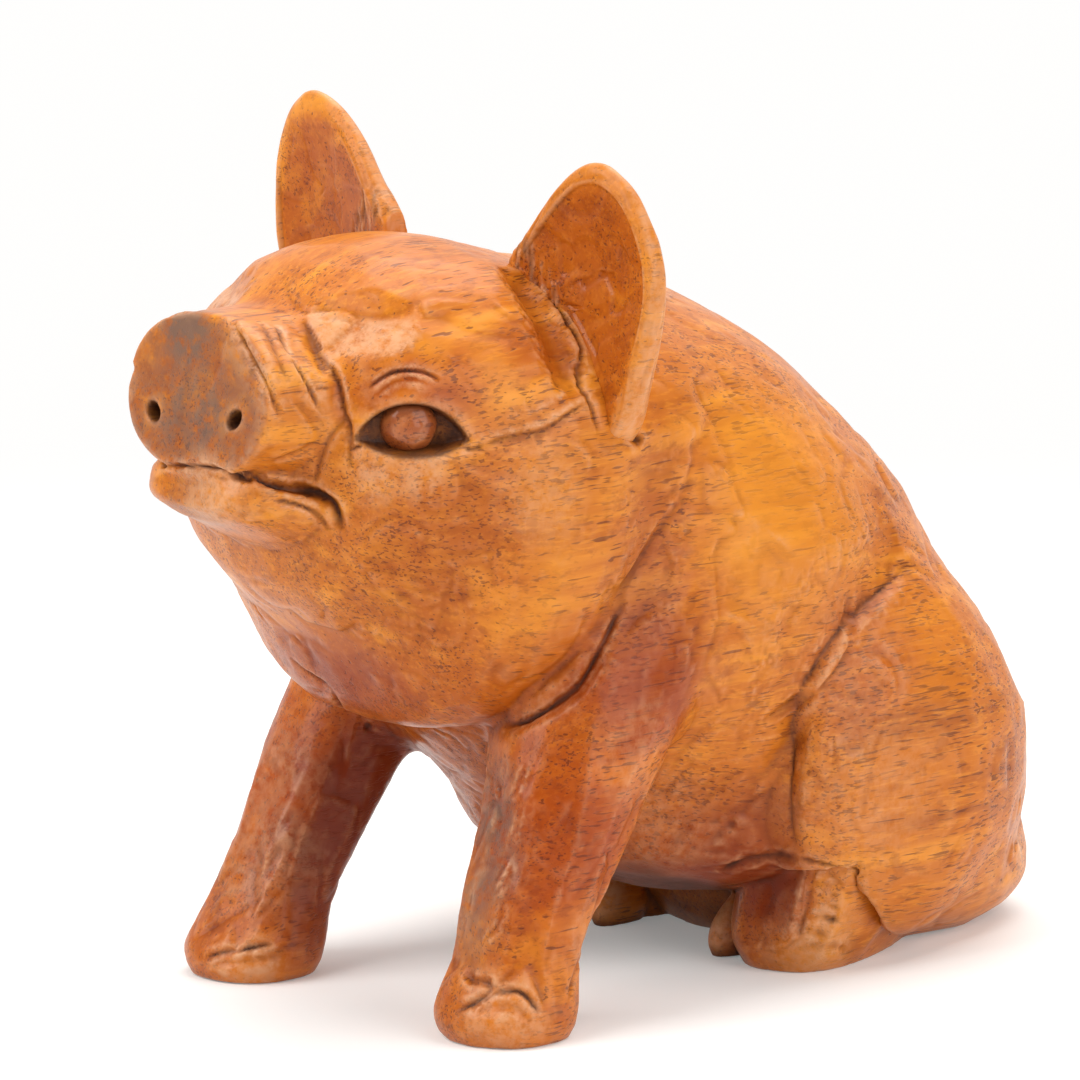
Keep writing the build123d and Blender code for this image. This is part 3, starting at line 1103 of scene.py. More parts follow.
    def head(self, space: Volume) -> None:
        """Skull and jowls with the snout's barrel and the lower lip, laid into the trunk.

        Args:
            space: the volume to add to.
        """
        rows = sized(HEAD_SHARES, (-self.head_length, self.head_middle, self.head_width,
                                   self.head_height, self.head_height, 1, 1), self.forward_shift)
        skull = self.upright(space, rows, self.skull_cap)
        rows = sized(LIP_SHARES, (-self.lip_length, self.lip_middle, self.lip_width,
                                  self.lip_height, self.lip_height, 1, 1),
                     self.forward_shift - self.nose_reach + self.lip_length)
        skull = smooth_min(skull, self.upright(space, rows), self.lip_blend)
        x, y, z = space.places()
        behind, up = self.snout_axes(y, z)
        flare = self.snout_flare * np.clip(behind / self.snout_length, 0, 1.2) ** 2
        barrel = radial(x, up, self.snout_width / 2 + flare, self.snout_height / 2 + flare, 2.2)
        barrel = -smooth_min(-barrel, behind, self.disc_rounding)
        barrel = np.maximum(barrel, behind - self.snout_length * 1.15)
        skull = smooth_min(skull, barrel, self.snout_blend)
        soft = self.face_blend + self.neck_blend * smooth_step(50, 68, z)
        space.value = smooth_min(space.value, skull, soft).astype(np.float32)

    def snout_axes(self, y: np.ndarray, z: np.ndarray) -> tuple[np.ndarray, np.ndarray]:
        """How far behind the snout's disc, and how high over its middle.

        Args:
            y: places along the pig.
            z: their heights.

        Returns:
            Both distances in millimetres.
        """
        lean = math.radians(self.snout_tilt)
        forward = y - (self.forward_shift - self.snout_front)
        above = z - self.snout_middle
        behind = math.cos(lean) * forward - math.sin(lean) * above
        up = math.sin(lean) * forward + math.cos(lean) * above
        return behind, up

    def hollows(self, x: np.ndarray, y: np.ndarray, z: np.ndarray) -> list[np.ndarray]:
        """Distances to the nostrils and the eye sockets at these places.

        Args:
            x: places across the pig.
            y: places along it.
            z: their heights.

        Returns:
            The distances to the nostrils, then to the sockets.
        """
        behind, up = self.snout_axes(y, z)
        aside = np.abs(x) - self.nostril_spacing / 2
        high = up + self.nostril_drop - self.nostril_roll * x
        ring = np.sqrt(aside * aside + high * high - self.nostril_shear * aside * high)
        narrow = 1 - self.nostril_taper * behind / self.nostril_depth
        pit = np.maximum(ring - self.nostril_radius * narrow, np.abs(behind) - self.nostril_depth)
        turn = math.radians(self.eye_turn)
        flat = np.abs(x) - self.eye_spread
        depth = y - (self.forward_shift - self.eye_reach)
        out = math.sin(turn) * flat - math.cos(turn) * depth
        along = math.cos(turn) * flat + math.sin(turn) * depth
        above = z - self.eye_height + self.lid_drop + self.lid_slant * along
        almond = np.where(
            above > 0, self.lid(along, above, self.upper_lid), self.lid(along, -above, self.lower_lid)
        )
        almond = almond + self.socket_slope * np.maximum(self.eye_skin - out, 0)
        corner = np.clip(2 * along / self.socket_length, -1, 1) ** 2
        floor = self.socket_depth * (1 - self.socket_shoal * corner)
        socket = np.maximum(almond, self.eye_skin - floor - out)
        socket = np.maximum(socket, np.abs(out) - self.socket_reach)
        return [pit, socket]

    def lid(self, along: np.ndarray, above: np.ndarray, rise: float) -> np.ndarray:
        """Distance to the arc of a lid that rises so far over the line between the eye's corners.

        Args:
            along: places on the line between the corners.
            above: how far over it they are.
            rise: the lid's height in its middle.

        Returns:
            The distances, below zero inside the arc.
        """
        ball = ((self.socket_length / 2) ** 2 + rise ** 2) / (2 * rise)
        height = above + ball - rise
        return np.sqrt(along * along + height * height) - ball

    def hollow(self, space: Volume) -> None:
        """Cut in the hollows, and the flat that the pig stands on.

        Args:
            space: the volume to cut into.
        """
        x, y, z = space.places()
        for tool in self.hollows(x, y, z):
            space.value = -smooth_min(-space.value, tool, self.edge_rounding).astype(np.float32)
        space.value = np.maximum(space.value, -z)

    def darken(self, skin: Skin) -> None:
        """Paint shade on the walls of the hollows and under the belly, a highlight along the lids, and grey
        the snout's disc.

        Args:
            skin: the block's skin.
        """
        pit, socket = self.hollows(*skin.points.T)
        # Painted shade on the nostrils' and sockets' walls, and a painted highlight with wear along the
        # lids.
        for tool, shade in ((pit, self.nostril_dirt), (socket, self.socket_dirt)):
            skin.cut = np.maximum(skin.cut, shade * smooth_step(0.3, 0.02, tool))
        lid = np.exp(-((socket - 0.8) / 0.4) ** 2)
        skin.worn = np.maximum(skin.worn, self.lid_wear * lid)
        # Painted shade under the belly, on faces that turn down.
        down = smooth_step(0.0, 0.6, -skin.normals(6)[:, 2])
        x, y, z = skin.points.T
        low = smooth_step(17, 9, z) * smooth_step(-12, -6, y) * smooth_step(22, 12, y)
        skin.cut = np.maximum(skin.cut, self.belly_dirt * down * low * smooth_step(16, 12, np.abs(x)))
        disc = smooth_step(0.5, 0.1, self.snout_axes(y, z)[0])
        skin.grey += self.disc_grey * disc
        skin.red += self.disc_red * disc
        skin.tone -= self.disc_red * disc

    def carve(self) -> bpy.types.Object:
        """Rough out, cut in and stroke the block, then paint its tints, its shade and its highlights.

        Returns:
            The finished piece.
        """
        low, high = node_box("carved_body")
        pitch = self.fine_pitch
        space = Volume(tuple(low - 2), tuple(high + 2), pitch)
        self.trunk(space)
        self.legs(space)
        self.haunches(space)
        self.feet(space)
        self.head(space)
        self.hollow(space)
        skin = space.skin()
        LOG.info("%s: %d corners roughed out", self.name, len(skin.points))
        skin.slice(self.facets)
        skin.flatten(self.flats)
        open_wood = np.min(np.abs(self.hollows(*skin.points.T)), axis=0)
        skin.knife(self.knife_spacing, self.knife_sink, 3, smooth_step(0.6, 2.5, open_wood))
        skin.carve(self.strokes)
        above = smooth_step(0.3, 1.5, skin.points[:, 2])
        skin.roughen(9.0, 0.12, 1, above)
        leg = smooth_step(46, 34, skin.points[:, 2]) * smooth_step(-4, -12, skin.points[:, 1])
        for cell, height, seed, share in ((2.5, 0.03, 2, 1 + leg), (1.1, 0.02, 4, 0.5 + 1.5 * leg)):
            skin.roughen(cell, height, seed, above * share)
        skin.tint(self.tints)
        # The legs redder and darker; the low belly and chest painted darker and redder as shade.
        under = smooth_step(26, 10, skin.points[:, 2]) * smooth_step(14, 4, skin.points[:, 1]) * (1 - leg)
        skin.red += self.leg_red * leg + self.belly_red * under
        skin.tone -= self.leg_dark * leg + self.belly_dark * under
        self.darken(skin)
        skin.weather(1.0)
        return skin.build(self.name, "carved_body")


TRUNK_SHARES = np.array([
    (0.000, 0.262, 0.330, 0.270, 2.1),
    (0.045, 0.245, 0.415, 0.355, 2.1),
    (0.150, 0.213, 0.448, 0.411, 2.1),
    (0.320, 0.116, 0.474, 0.4545, 2.1),
    (0.480, 0.038, 0.490, 0.4605, 2.0),
    (0.625, -0.0175, 0.470, 0.4425, 2.0),
    (0.770, -0.077, 0.424, 0.367, 2.0),
    (0.880, -0.118, 0.340, 0.291, 2.0),
    (0.950, -0.138, 0.226, 0.200, 2.0),
])
SEAT_SHARES = np.array([
    (0.00, 0.0, 0.370, 0.425, 2.2),
    (0.10, 0.0, 0.440, 0.478, 2.2),
    (0.45, 0.0, 0.475, 0.490, 2.3),
    (1.00, 0.0, 0.455, 0.420, 2.3),
])
HEAD_SHARES = np.array([
    (0.00, 0.966, 0.290, 0.230, 0.320, 2.0, 2.2),
    (0.16, 0.985, 0.430, 0.335, 0.500, 2.0, 2.6),
    (0.40, 0.997, 0.500, 0.395, 0.570, 2.1, 2.8),
    (0.60, 1.009, 0.490, 0.438, 0.550, 2.2, 2.5),
    (0.76, 1.043, 0.425, 0.408, 0.405, 2.3, 2.25),
    (0.90, 1.095, 0.345, 0.305, 0.328, 2.3, 2.3),
    (1.00, 1.138, 0.200, 0.160, 0.195, 2.2, 2.2),
])
LIP_SHARES = np.array([
    (0.00, 0.984, 0.500, 0.50, 0.60, 2.2, 2.2),
    (0.50, 1.007, 0.440, 0.48, 0.45, 2.6, 2.2),
    (0.80, 1.022, 0.370, 0.47, 0.30, 2.8, 2.2),
    (0.93, 1.027, 0.320, 0.41, 0.22, 2.8, 2.2),
    (1.00, 1.029, 0.240, 0.24, 0.12, 2.4, 2.2),
])
FRONT_LEG_SHARES = np.array([
    (0.000, 1.000, 1.000, 0.425, 0.425, 2.2),
    (0.026, 1.000, 1.005, 0.468, 0.468, 2.2),
    (0.103, 1.000, 0.976, 0.448, 0.440, 2.3),
    (0.241, 0.995, 0.880, 0.442, 0.480, 2.4),
    (0.414, 0.985, 0.733, 0.495, 0.575, 2.4),
    (0.586, 0.890, 0.560, 0.600, 0.710, 2.3),
    (0.724, 0.780, 0.445, 0.600, 0.740, 2.2),
    (0.862, 0.610, 0.380, 0.500, 0.650, 2.2),
    (1.000, 0.400, 0.320, 0.260, 0.360, 2.2),
])
HIND_FOOT_SHARES = np.array([
    (0.00, -0.02, 0.00, 0.470, 0.490, 2.6),
    (0.10, -0.03, 0.02, 0.520, 0.525, 2.6),
    (0.45, -0.035, 0.10, 0.600, 0.540, 2.6),
    (0.72, -0.03, 0.15, 0.620, 0.530, 2.5),
    (0.92, -0.01, 0.15, 0.540, 0.470, 2.3),
    (1.00, 0.02, 0.10, 0.330, 0.360, 2.2),
])
INNER_TOE_ROWS = np.array([
    (0.0, 0.0, 1.5, 3.2, 2.4),
    (1.0, 0.0, 1.8, 3.6, 2.4),
    (4.5, 0.4, 1.6, 3.0, 2.4),
    (6.6, 1.0, 0.7, 1.6, 2.4),
])

CHEEK_LINE = ((484, 446), (512, 436), (543, 430), (568, 415), (588, 402))
SHIN_TICKS = (
    ((508, 800), (520, 784), (526, 764)), ((506, 846), (516, 828), (520, 806)),
    ((494, 896), (508, 876), (512, 852)), ((482, 942), (498, 924), (502, 900)),
)
FOOT_SCORES = (
    (794, 814, 836, 872, 2, 1), (788, 812, 838, 884, 2, 1),
    (784, 812, 838, 896, 3, 0), (782, 810, 840, 908, 3, 0),
)
# Each cut's shade paints shade into it, with dark wax, and its rim paints a highlight along its edges, with
# worn wood.
BODY_STROKES = (
    # Snout: torn flakes beside the disc, the edge where it meets the face, and a cross notch
    Stroke(((234, 318), (245, 345), (259, 372), (270, 392), (281, 417)), 1.5, 0.5, 0.0, 0.3, Profile.STEP,
           ragged=0.35),
    Stroke(((234, 318), (245, 345), (261, 374), (272, 394), (281, 417)), 0.4, 0.45, 0.75, 0.9, ragged=0.35),
    Stroke(((262, 322), (272, 340), (283, 366), (291, 382)), 1.3, 0.3, 0.1, 0.5, Profile.STEP, ragged=0.3),
    Stroke(((275, 325), (289, 351), (306, 381), (320, 412)), 0.38, 0.4, 0.6, 0.8, ragged=0.3),
    Stroke(((306, 318), (322, 348), (339, 379), (346, 412), (351, 431), (350, 455)), 1.9, 0.7, 0.0, 0.3,
           Profile.STEP, ragged=0.1),
    Stroke(((308, 322), (322, 348), (339, 379), (346, 412), (351, 431), (349, 470)), 0.4, 0.35, 0.5, 0.6,
           ragged=0.25),
    Stroke(((308, 386), (322, 388), (334, 386)), 0.26, 0.25, 0.5),
    # Brow with a painted highlight under it, and the ends of the lids
    Stroke(((368, 388), (388, 374), (407, 370), (426, 372), (440, 381)), 0.36, 0.42, 1.0, 0.3, ragged=0.05),
    Stroke(((376, 395), (392, 383), (410, 379), (430, 383)), 0.34, 0.10, 0.0, 1.0, ragged=0.05),
    Stroke(((346, 452), (354, 448), (363, 445)), 0.45, 0.35, 0.7),
    Stroke(((456, 444), (470, 449), (484, 446)), 0.45, 0.35, 0.7),
    # Mouth, deeper at the corner
    Stroke(((160, 465), (180, 466), (204, 467), (242, 473), (266, 481), (289, 486)), 0.42, 1.1, 1.0, 0.1,
           ragged=0.1, ends=0.03),
    Stroke(((206, 467), (222, 472), (238, 477), (254, 481)), 0.5, 0.8, 1.0, 0.1, ragged=0.2, ends=0.1),
    Stroke(((246, 472), (266, 481), (289, 486), (306, 490), (322, 498), (335, 510), (341, 532)), 0.75, 1.2,
           1.0, 0.3, ragged=0.3, ends=0.3),
    Stroke(((276, 500), (296, 504), (312, 511), (322, 521), (328, 532)), 0.4, 0.3, 0.6, 0.5, ragged=0.2),
    # Cheek line from the eye to the ear, with a painted highlight along the ridge over it
    Stroke(CHEEK_LINE, 0.42, 0.4, 0.75, 0.6, ragged=0.2),
    Stroke(CHEEK_LINE, 2.2, 0.35, 0.0, 0.0, Profile.STEP, ragged=0.1),
    Stroke(((506, 426), (530, 419), (556, 406), (574, 394)), 0.6, 0.12, 0.0, 0.8, ragged=0.3),
    # Hollow in front of the ear's root, and the torn seam in it
    Stroke(((512, 268), (532, 292), (548, 318), (560, 345), (572, 372), (584, 396)), 3.4, 1.5,
           0.0, 0.0, Profile.GOUGE),
    Stroke(((514, 258), (533, 275), (552, 292), (564, 313), (575, 330), (583, 350), (585, 382), (592, 405),
            (600, 435)), 0.5, 0.5, 0.75, 0.3, ragged=0.4),
    Stroke(((624, 428), (634, 436), (644, 442)), 0.9, 1.1, 0.9),
    # Neck: a soft valley behind the cheek that ends in the crease over the leg
    Stroke(((640, 446), (655, 500), (650, 560), (628, 610), (600, 648)), 5.5, 0.6, 0.0, 0.0, Profile.GOUGE),
    Stroke(((630, 600), (602, 646), (590, 667), (569, 691), (530, 715), (498, 727)), 0.5, 0.5, 0.7, 0.2,
           ragged=0.2),
    Stroke(((602, 646), (590, 667), (569, 691), (530, 715), (500, 727)), 1.6, 0.8, 0.0, 0.0, Profile.GOUGE),
    Stroke(((290, 658), (320, 682), (338, 703), (368, 727), (384, 738)), 0.6, 0.5, 0.6, side=Side.SEEN),
    # Haunch: it stands proud of the flank along its crease, with a soft hollow above
    Stroke(((912, 562), (888, 588), (857, 622), (832, 655), (815, 685), (803, 720), (796, 751), (792, 790),
            (793, 830), (800, 854)), 6.5, 1.3, 0.0, 0.0, Profile.STEP, ragged=0.03, ends=0.3),
    Stroke(((908, 566), (888, 588), (857, 622), (832, 655), (815, 685), (803, 716)), 0.34, 0.35, 0.8, 0.1,
           ragged=0.15, ends=0.3),
    Stroke(((802, 716), (796, 751), (793, 775), (790, 804), (793, 833), (799, 851)), 0.4, 0.45, 0.9, 0.0,
           ragged=0.15, ends=0.3),
    Stroke(((905, 550), (868, 574), (830, 602), (800, 640), (784, 690), (772, 740)), 5.5, 0.8, 0.0, 0.0,
           Profile.GOUGE),
    Stroke(((780, 540), (767, 566), (755, 590), (742, 620)), 4.0, 0.45, 0.0, 0.0, Profile.GOUGE),
    Stroke(((760, 640), (748, 700), (738, 760)), 4.0, 0.4, 0.0, 0.0, Profile.GOUGE),
    # Hind foot: scores across its top and a long slanted cut
    Stroke(((720, 874), (745, 863), (770, 857), (799, 858)), 1.3, 0.5, 0.9, ragged=0.3),
    Stroke(((799, 858), (830, 866), (850, 872)), 0.6, 0.3, 0.6, ragged=0.3),
    *(Stroke(((left, low), (middle, low - dip), (right, low + rise)), 0.42, 0.22, 0.3, 0.9)
      for left, middle, right, low, dip, rise in FOOT_SCORES),
    Stroke(((784, 922), (812, 918), (842, 922)), 0.65, 0.5, 0.9, 0.9),
    Stroke(((782, 914), (766, 932), (752, 950)), 0.55, 0.4, 0.85, 0.6),
    Stroke(((770, 940), (800, 934), (830, 938)), 0.8, 0.3, 0.0, 0.8, Profile.GOUGE, ragged=0.5),
    Stroke(((790, 955), (822, 948), (850, 950)), 0.8, 0.3, 0.0, 0.8, Profile.GOUGE, ragged=0.5),
    # Near front leg: an engraved line down the shin, and ticks across its edge with painted highlights
    # along them
    Stroke(((503, 742), (497, 785), (488, 826), (473, 880), (458, 943)), 0.4, 0.3, 0.25, 0.5, ragged=0.4),
    *(Stroke(path, 0.4, 0.1, 0.0, 0.6, ragged=0.6) for path in SHIN_TICKS),
    # Hooves
    Stroke(((462, 974), (478, 980), (490, 988), (474, 1002), (455, 1012)), 0.7, 0.5, 0.6, 0.6, ragged=0.3),
    Stroke(((476, 1003), (500, 991), (524, 994), (540, 1013)), 0.6, 0.5, 0.85, 1.0, ragged=0.3),
    Stroke(((470, 1012), (490, 1006), (515, 1008), (530, 1024)), 0.9, 0.3, 0.0, 1.0, Profile.GOUGE,
           ragged=0.5),
    Stroke(((205, 957), (222, 952), (245, 948), (272, 944)), 0.6, 0.5, 0.85, 0.9, side=Side.SEEN,
           ragged=0.3),
    Stroke(((215, 966), (245, 960), (285, 956)), 0.9, 0.3, 0.0, 1.0, Profile.GOUGE, Side.SEEN, ragged=0.5),
)

BODY_FACETS = (
    # The forehead's flat, with a painted reflection on it.
    Facet(((306, 311), (414, 318), (424, 341), (393, 355), (329, 355)), 0.05, 30.0, 1.0),
)

LEG_FLATS = (
    (489, 790, 0.5, 9.0), (486, 850, 0.5, 9.0), (472, 915, 0.45, 9.0), (560, 790, 0.45, 10.0),
    (548, 870, 0.45, 10.0), (530, 940, 0.4, 9.0), (640, 790, 0.35, 9.0), (610, 870, 0.35, 9.0),
    (588, 940, 0.35, 8.0), (252, 830, 0.5, 9.0), (236, 900, 0.45, 8.0), (330, 830, 0.4, 9.0),
)
BODY_FLATS = (
    # Legs: shin, its outer side and the edge behind
    *(Flat((across, down), sink, reach, Side.SEEN) for across, down, sink, reach in LEG_FLATS),
    # Head: temple, cheek and the snout's side
    Flat((470, 330), 0.35, 11.0),
    Flat((430, 350), 0.25, 8.0),
    Flat((560, 500), 0.35, 11.0),
    Flat((400, 560), 0.35, 11.0),
    Flat((318, 440), 0.3, 6.0),
    Flat((300, 350), 0.3, 5.0),
    # Flank, shoulder, haunch and foot
    Flat((700, 560), 0.4, 12.0),
    Flat((760, 470), 0.4, 12.0),
    Flat((860, 700), 0.4, 12.0),
    Flat((900, 800), 0.35, 11.0),
    Flat((768, 905), 0.9, 8.0),
    Flat((815, 895), 0.7, 7.0),
    Flat((860, 925), 0.6, 7.0),
    Flat((800, 950), 0.7, 7.0),
    Flat((765, 950), 0.5, 6.0),
)

BODY_TINTS = (
    # Flank, shoulder and haunch: painted light on the flank and rump, painted shade on the shoulder and
    # neck, and painted sheen on the haunch
    Tint((785, 500), 18, tone=0.6),
    Tint((735, 520), 10, tone=0.3),
    Tint((650, 630), 14, tone=-0.35, red=0.35),
    Tint((650, 690), 10, tone=-0.3, red=0.4),
    Tint((680, 480), 9, tone=-0.4, red=0.3),
    Tint((860, 660), 9, tone=-0.1, red=0.5, pale=0.25),
    Tint((930, 640), 8, tone=0.3, red=0.2),
    Tint((880, 800), 12, tone=0.1, pale=0.3),
    # Legs and belly: painted light on the legs' lit faces, painted shade on the far leg's back and in the
    # gap under the belly, and greyer wood down the near shin
    Tint((560, 840), 13, tone=-0.2, red=0.6),
    Tint((650, 830), 9, tone=0.4, pale=0.35),
    Tint((600, 940), 6, tone=0.4, pale=0.4),
    Tint((640, 760), 7, tone=0.3, pale=0.3),
    Tint((255, 850), 8, tone=0.3, grey=0.25, pale=0.35, side=Side.SEEN),
    Tint((268, 770), 8, tone=0.2, grey=0.2, pale=0.3, side=Side.SEEN),
    Tint((340, 790), 9, tone=-1.0, red=0.5, side=Side.SEEN),
    Tint((320, 880), 9, tone=-1.0, red=0.5, side=Side.SEEN),
    Tint((380, 770), 8, tone=-1.0, red=0.3, side=Side.SEEN),
    Tint((700, 870), 13, tone=-0.8, red=0.5),
    Tint((490, 850), 6, grey=0.7, side=Side.SEEN),
    Tint((486, 790), 6, grey=0.6, side=Side.SEEN),
    Tint((468, 920), 6, grey=0.7, side=Side.SEEN),
    # Snout, lip and face: greyer wood on the snout and lip, a redder strip over the eye, painted highlights
    # on the lip, cheekbone, cheek and temple, and painted shade at the ear's root and under the jowl
    Tint((195, 412), 5.5, grey=0.5, side=Side.SEEN),
    Tint((185, 322), 4.5, tone=-0.3, grey=0.7, side=Side.SEEN),
    Tint((210, 486), 5.0, tone=0.4, pale=0.9, side=Side.SEEN),
    Tint((190, 512), 5.0, tone=-0.2, grey=0.5, side=Side.SEEN),
    Tint((315, 430), 6, tone=0.3, red=0.2),
    Tint((375, 362), 5, tone=-0.3, red=0.6),
    Tint((445, 378), 5, tone=-0.3, red=0.6),
    Tint((410, 395), 5, tone=-0.2, red=0.6),
    Tint((500, 372), 7, tone=0.3),
    Tint((545, 345), 6, tone=-0.4, red=0.6),
    Tint((375, 477), 3.5, pale=0.8),
    Tint((425, 474), 3.5, pale=0.8),
    Tint((545, 610), 9, tone=0.45),
    Tint((545, 500), 6, tone=0.3, pale=0.4),
    Tint((440, 560), 12, tone=-0.3, red=0.45),
    Tint((360, 680), 8, tone=-0.4, red=0.4),
    # Hooves and hind feet: lighter chipped ends, and painted shade in the fold above the foot
    Tint((505, 1020), 6, tone=0.8, pale=0.5, side=Side.SEEN),
    Tint((250, 968), 5, tone=0.8, pale=0.5, side=Side.SEEN),
    Tint((815, 952), 7, tone=0.8, pale=0.5),
    Tint((775, 895), 5, tone=-0.6, red=0.8),
    Tint((722, 915), 4, grey=0.4, pale=0.8),
)


@dataclass
class Paired:
    """A piece that the pig has on both sides; side is 1 for its left and -1 for its right."""

    side: int
    kind: str = ""

    @property
    def node(self) -> str:
        """The frame's name for this piece."""
        return f"{self.kind}_{'left' if self.side > 0 else 'right'}"


@dataclass
class Ear(Paired):
    """An upright leaf, dished in front, with a squared rim and torn fibres at its root."""

    kind: str = "ear"
    height: float = 30.5
    width: float = 20.1
    thickness: float = 3.6
    taper: float = 0.11
    base: float = 59.0
    spread: float = 20.1
    reach: float = 20.0
    forward_shift: float = 3.0
    turn: float = 6.0
    lean: float = 0.0
    dish_depth: float = 1.2
    dish_radius: float = 10.5
    dish_height: float = 19.5
    tip_shift: float = 0.0
    corner_shift: float = 0.0
    torn_width: float = 1.3
    torn_depth: float = 0.16
    # Painted shade on the dished face, lighter on the rim, and a painted highlight with wear along the
    # rim's sides.
    face_red: float = 0.55
    face_dark: float = 0.25
    rim_wear: float = 0.45
    face_share: float = 0.86
    rim_squareness: float = 0.85
    columns: int = 320
    face_rows: int = 88
    rim_rows: int = 26

    def placed(self, points: np.ndarray) -> np.ndarray:
        """Points of the leaf's own frame, X outward, Y back and Z up, in their place on the head."""
        turned = rotation(1, self.side * self.lean) @ rotation(2, self.side * self.turn)
        return points @ turned.T + (self.side * self.spread, self.forward_shift - self.reach, self.base)

    def sizes(self) -> np.ndarray:
        """How large a copy of the outline each ring is, over the face, the rim and the back.

        Returns:
            One share of the outline's size for each ring.
        """
        face = np.linspace(0.004, self.face_share, self.face_rows)
        angle = np.linspace(0, math.pi, self.rim_rows + 2)[1:-1]
        rim = self.face_share + (1 - self.face_share) * np.sin(angle) ** self.rim_squareness
        return np.concatenate([face, rim, face[::-1]])

    def sheet(self) -> np.ndarray:
        """The leaf as a closed grid: face, rim and back, each ring a smaller copy of the outline.

        Returns:
            Points in the leaf's own frame, shape (rings, columns, 3).
        """
        shares = EAR_OUTLINE_SHARES.copy()
        shares[0] -= (self.corner_shift, 0.7 * self.corner_shift)
        shares[:, 0] += self.tip_shift * smooth_step(0.6, 0.9, shares[:, 1]) * (shares[:, 0] > -0.1)
        knots = np.vstack([shares[-3:], shares, shares[:4]])
        at = np.linspace(3, 3 + len(EAR_OUTLINE_SHARES), self.columns, endpoint=False)
        outline = cubic_rows(np.arange(len(knots), dtype=float), knots, at)
        middle = np.array([-0.05, 0.5])
        size = self.sizes()
        angle = np.linspace(0, math.pi, self.rim_rows + 2)[1:-1]
        cross = np.abs(np.cos(angle)) ** self.rim_squareness * np.sign(np.cos(angle))
        through = np.concatenate([
            np.full(self.face_rows, -0.5), -0.5 * cross, np.full(self.face_rows, 0.5),
        ])
        ring = middle + size[:, None, None] * (outline - middle)
        points = np.empty(ring.shape[:2] + (3,))
        points[..., 0] = self.side * ring[..., 0] * self.width
        points[..., 2] = ring[..., 1] * self.height
        thick = self.thickness + self.taper * (self.height / 2 - points[..., 2])
        points[..., 1] = through[:, None] * thick
        return points

    def dished(self, points: np.ndarray) -> np.ndarray:
        """Hollow the front face: deepest in its middle, and out to nothing at its rim.

        Args:
            points: the leaf's grid.

        Returns:
            The grid with its face hollowed.
        """
        face = points[:self.face_rows]
        away = (face[..., 0] ** 2 + (face[..., 2] - self.dish_height) ** 2) / self.dish_radius ** 2
        out = points.copy()
        out[:self.face_rows, :, 1] += self.dish_depth * np.clip(1 - away, 0, 1) ** 1.5
        return out

    def carve(self) -> bpy.types.Object:
        """Shape and tear the leaf, paint shade on its dished face and light on its rim, and paint shade and
        highlight on its relief.

        Returns:
            The finished piece.
        """
        skin = grid_skin(self.placed(self.dished(self.sheet())))
        facing = skin.normals(3)
        root = self.placed(np.array([(self.side * out * self.width, 0.0, up * self.height)
                                     for out, up in EAR_ROOT_SHARES]))
        gap = np.linalg.norm(skin.points[:, None] - root[None], axis=2).min(1)
        torn = smooth_step(self.torn_width + self.thickness / 2, self.thickness / 2, gap)
        torn = torn * smooth_step(0, 1, -facing[:, 1] * 2)
        fibres = skin.points * (2.2, 1, 0.6)
        skin.points += facing * (torn * self.torn_depth * lattice_noise(fibres, 0.9, 3))[:, None]
        skin.cut = np.clip(torn * (0.1 + 0.8 * lattice_noise(fibres, 1.6, 11)), 0, 0.6)
        skin.worn = np.clip(torn * (0.2 + 1.0 * lattice_noise(fibres, 1.3, 12)), 0, 0.9)
        skin.knife(5.0, 0.10, 5 + self.side)
        skin.roughen(6.0, 0.12, 6)
        skin.roughen(2.2, 0.025, 7)
        # Painted shade on the dished front, the rim painted lighter, and a painted highlight with wear on
        # the rim's sides.
        front = smooth_step(0.2, 0.9, -facing[:, 1])
        edge = smooth_step(0.75, 0.95, np.repeat(self.sizes(), self.columns))
        skin.tone = -self.face_dark * front * (1 - edge) + self.face_dark * edge
        skin.red = self.face_red * front * (1 - edge)
        aside = smooth_step(0.1, 0.6, 1 - np.abs(facing[:, 1]))
        skin.worn = np.maximum(skin.worn, self.rim_wear * edge * aside)
        skin.weather(0.8)
        return skin.build(f"{self.node}_leaf", self.node)


EAR_OUTLINE_SHARES = np.array([
    (-0.570, 0.570), (-0.330, 0.390), (-0.210, 0.220), (-0.060, 0.030), (0.175, 0.050), (0.330, 0.300),
    (0.415, 0.540), (0.385, 0.740), (0.230, 0.915), (-0.020, 0.990), (-0.280, 0.880), (-0.500, 0.700),
])
EAR_ROOT_SHARES = (
    (-0.480, 0.640), (-0.400, 0.570), (-0.330, 0.500), (-0.260, 0.430), (-0.190, 0.350), (-0.120, 0.270),
    (-0.050, 0.200), (0.020, 0.140), (0.100, 0.090),
)


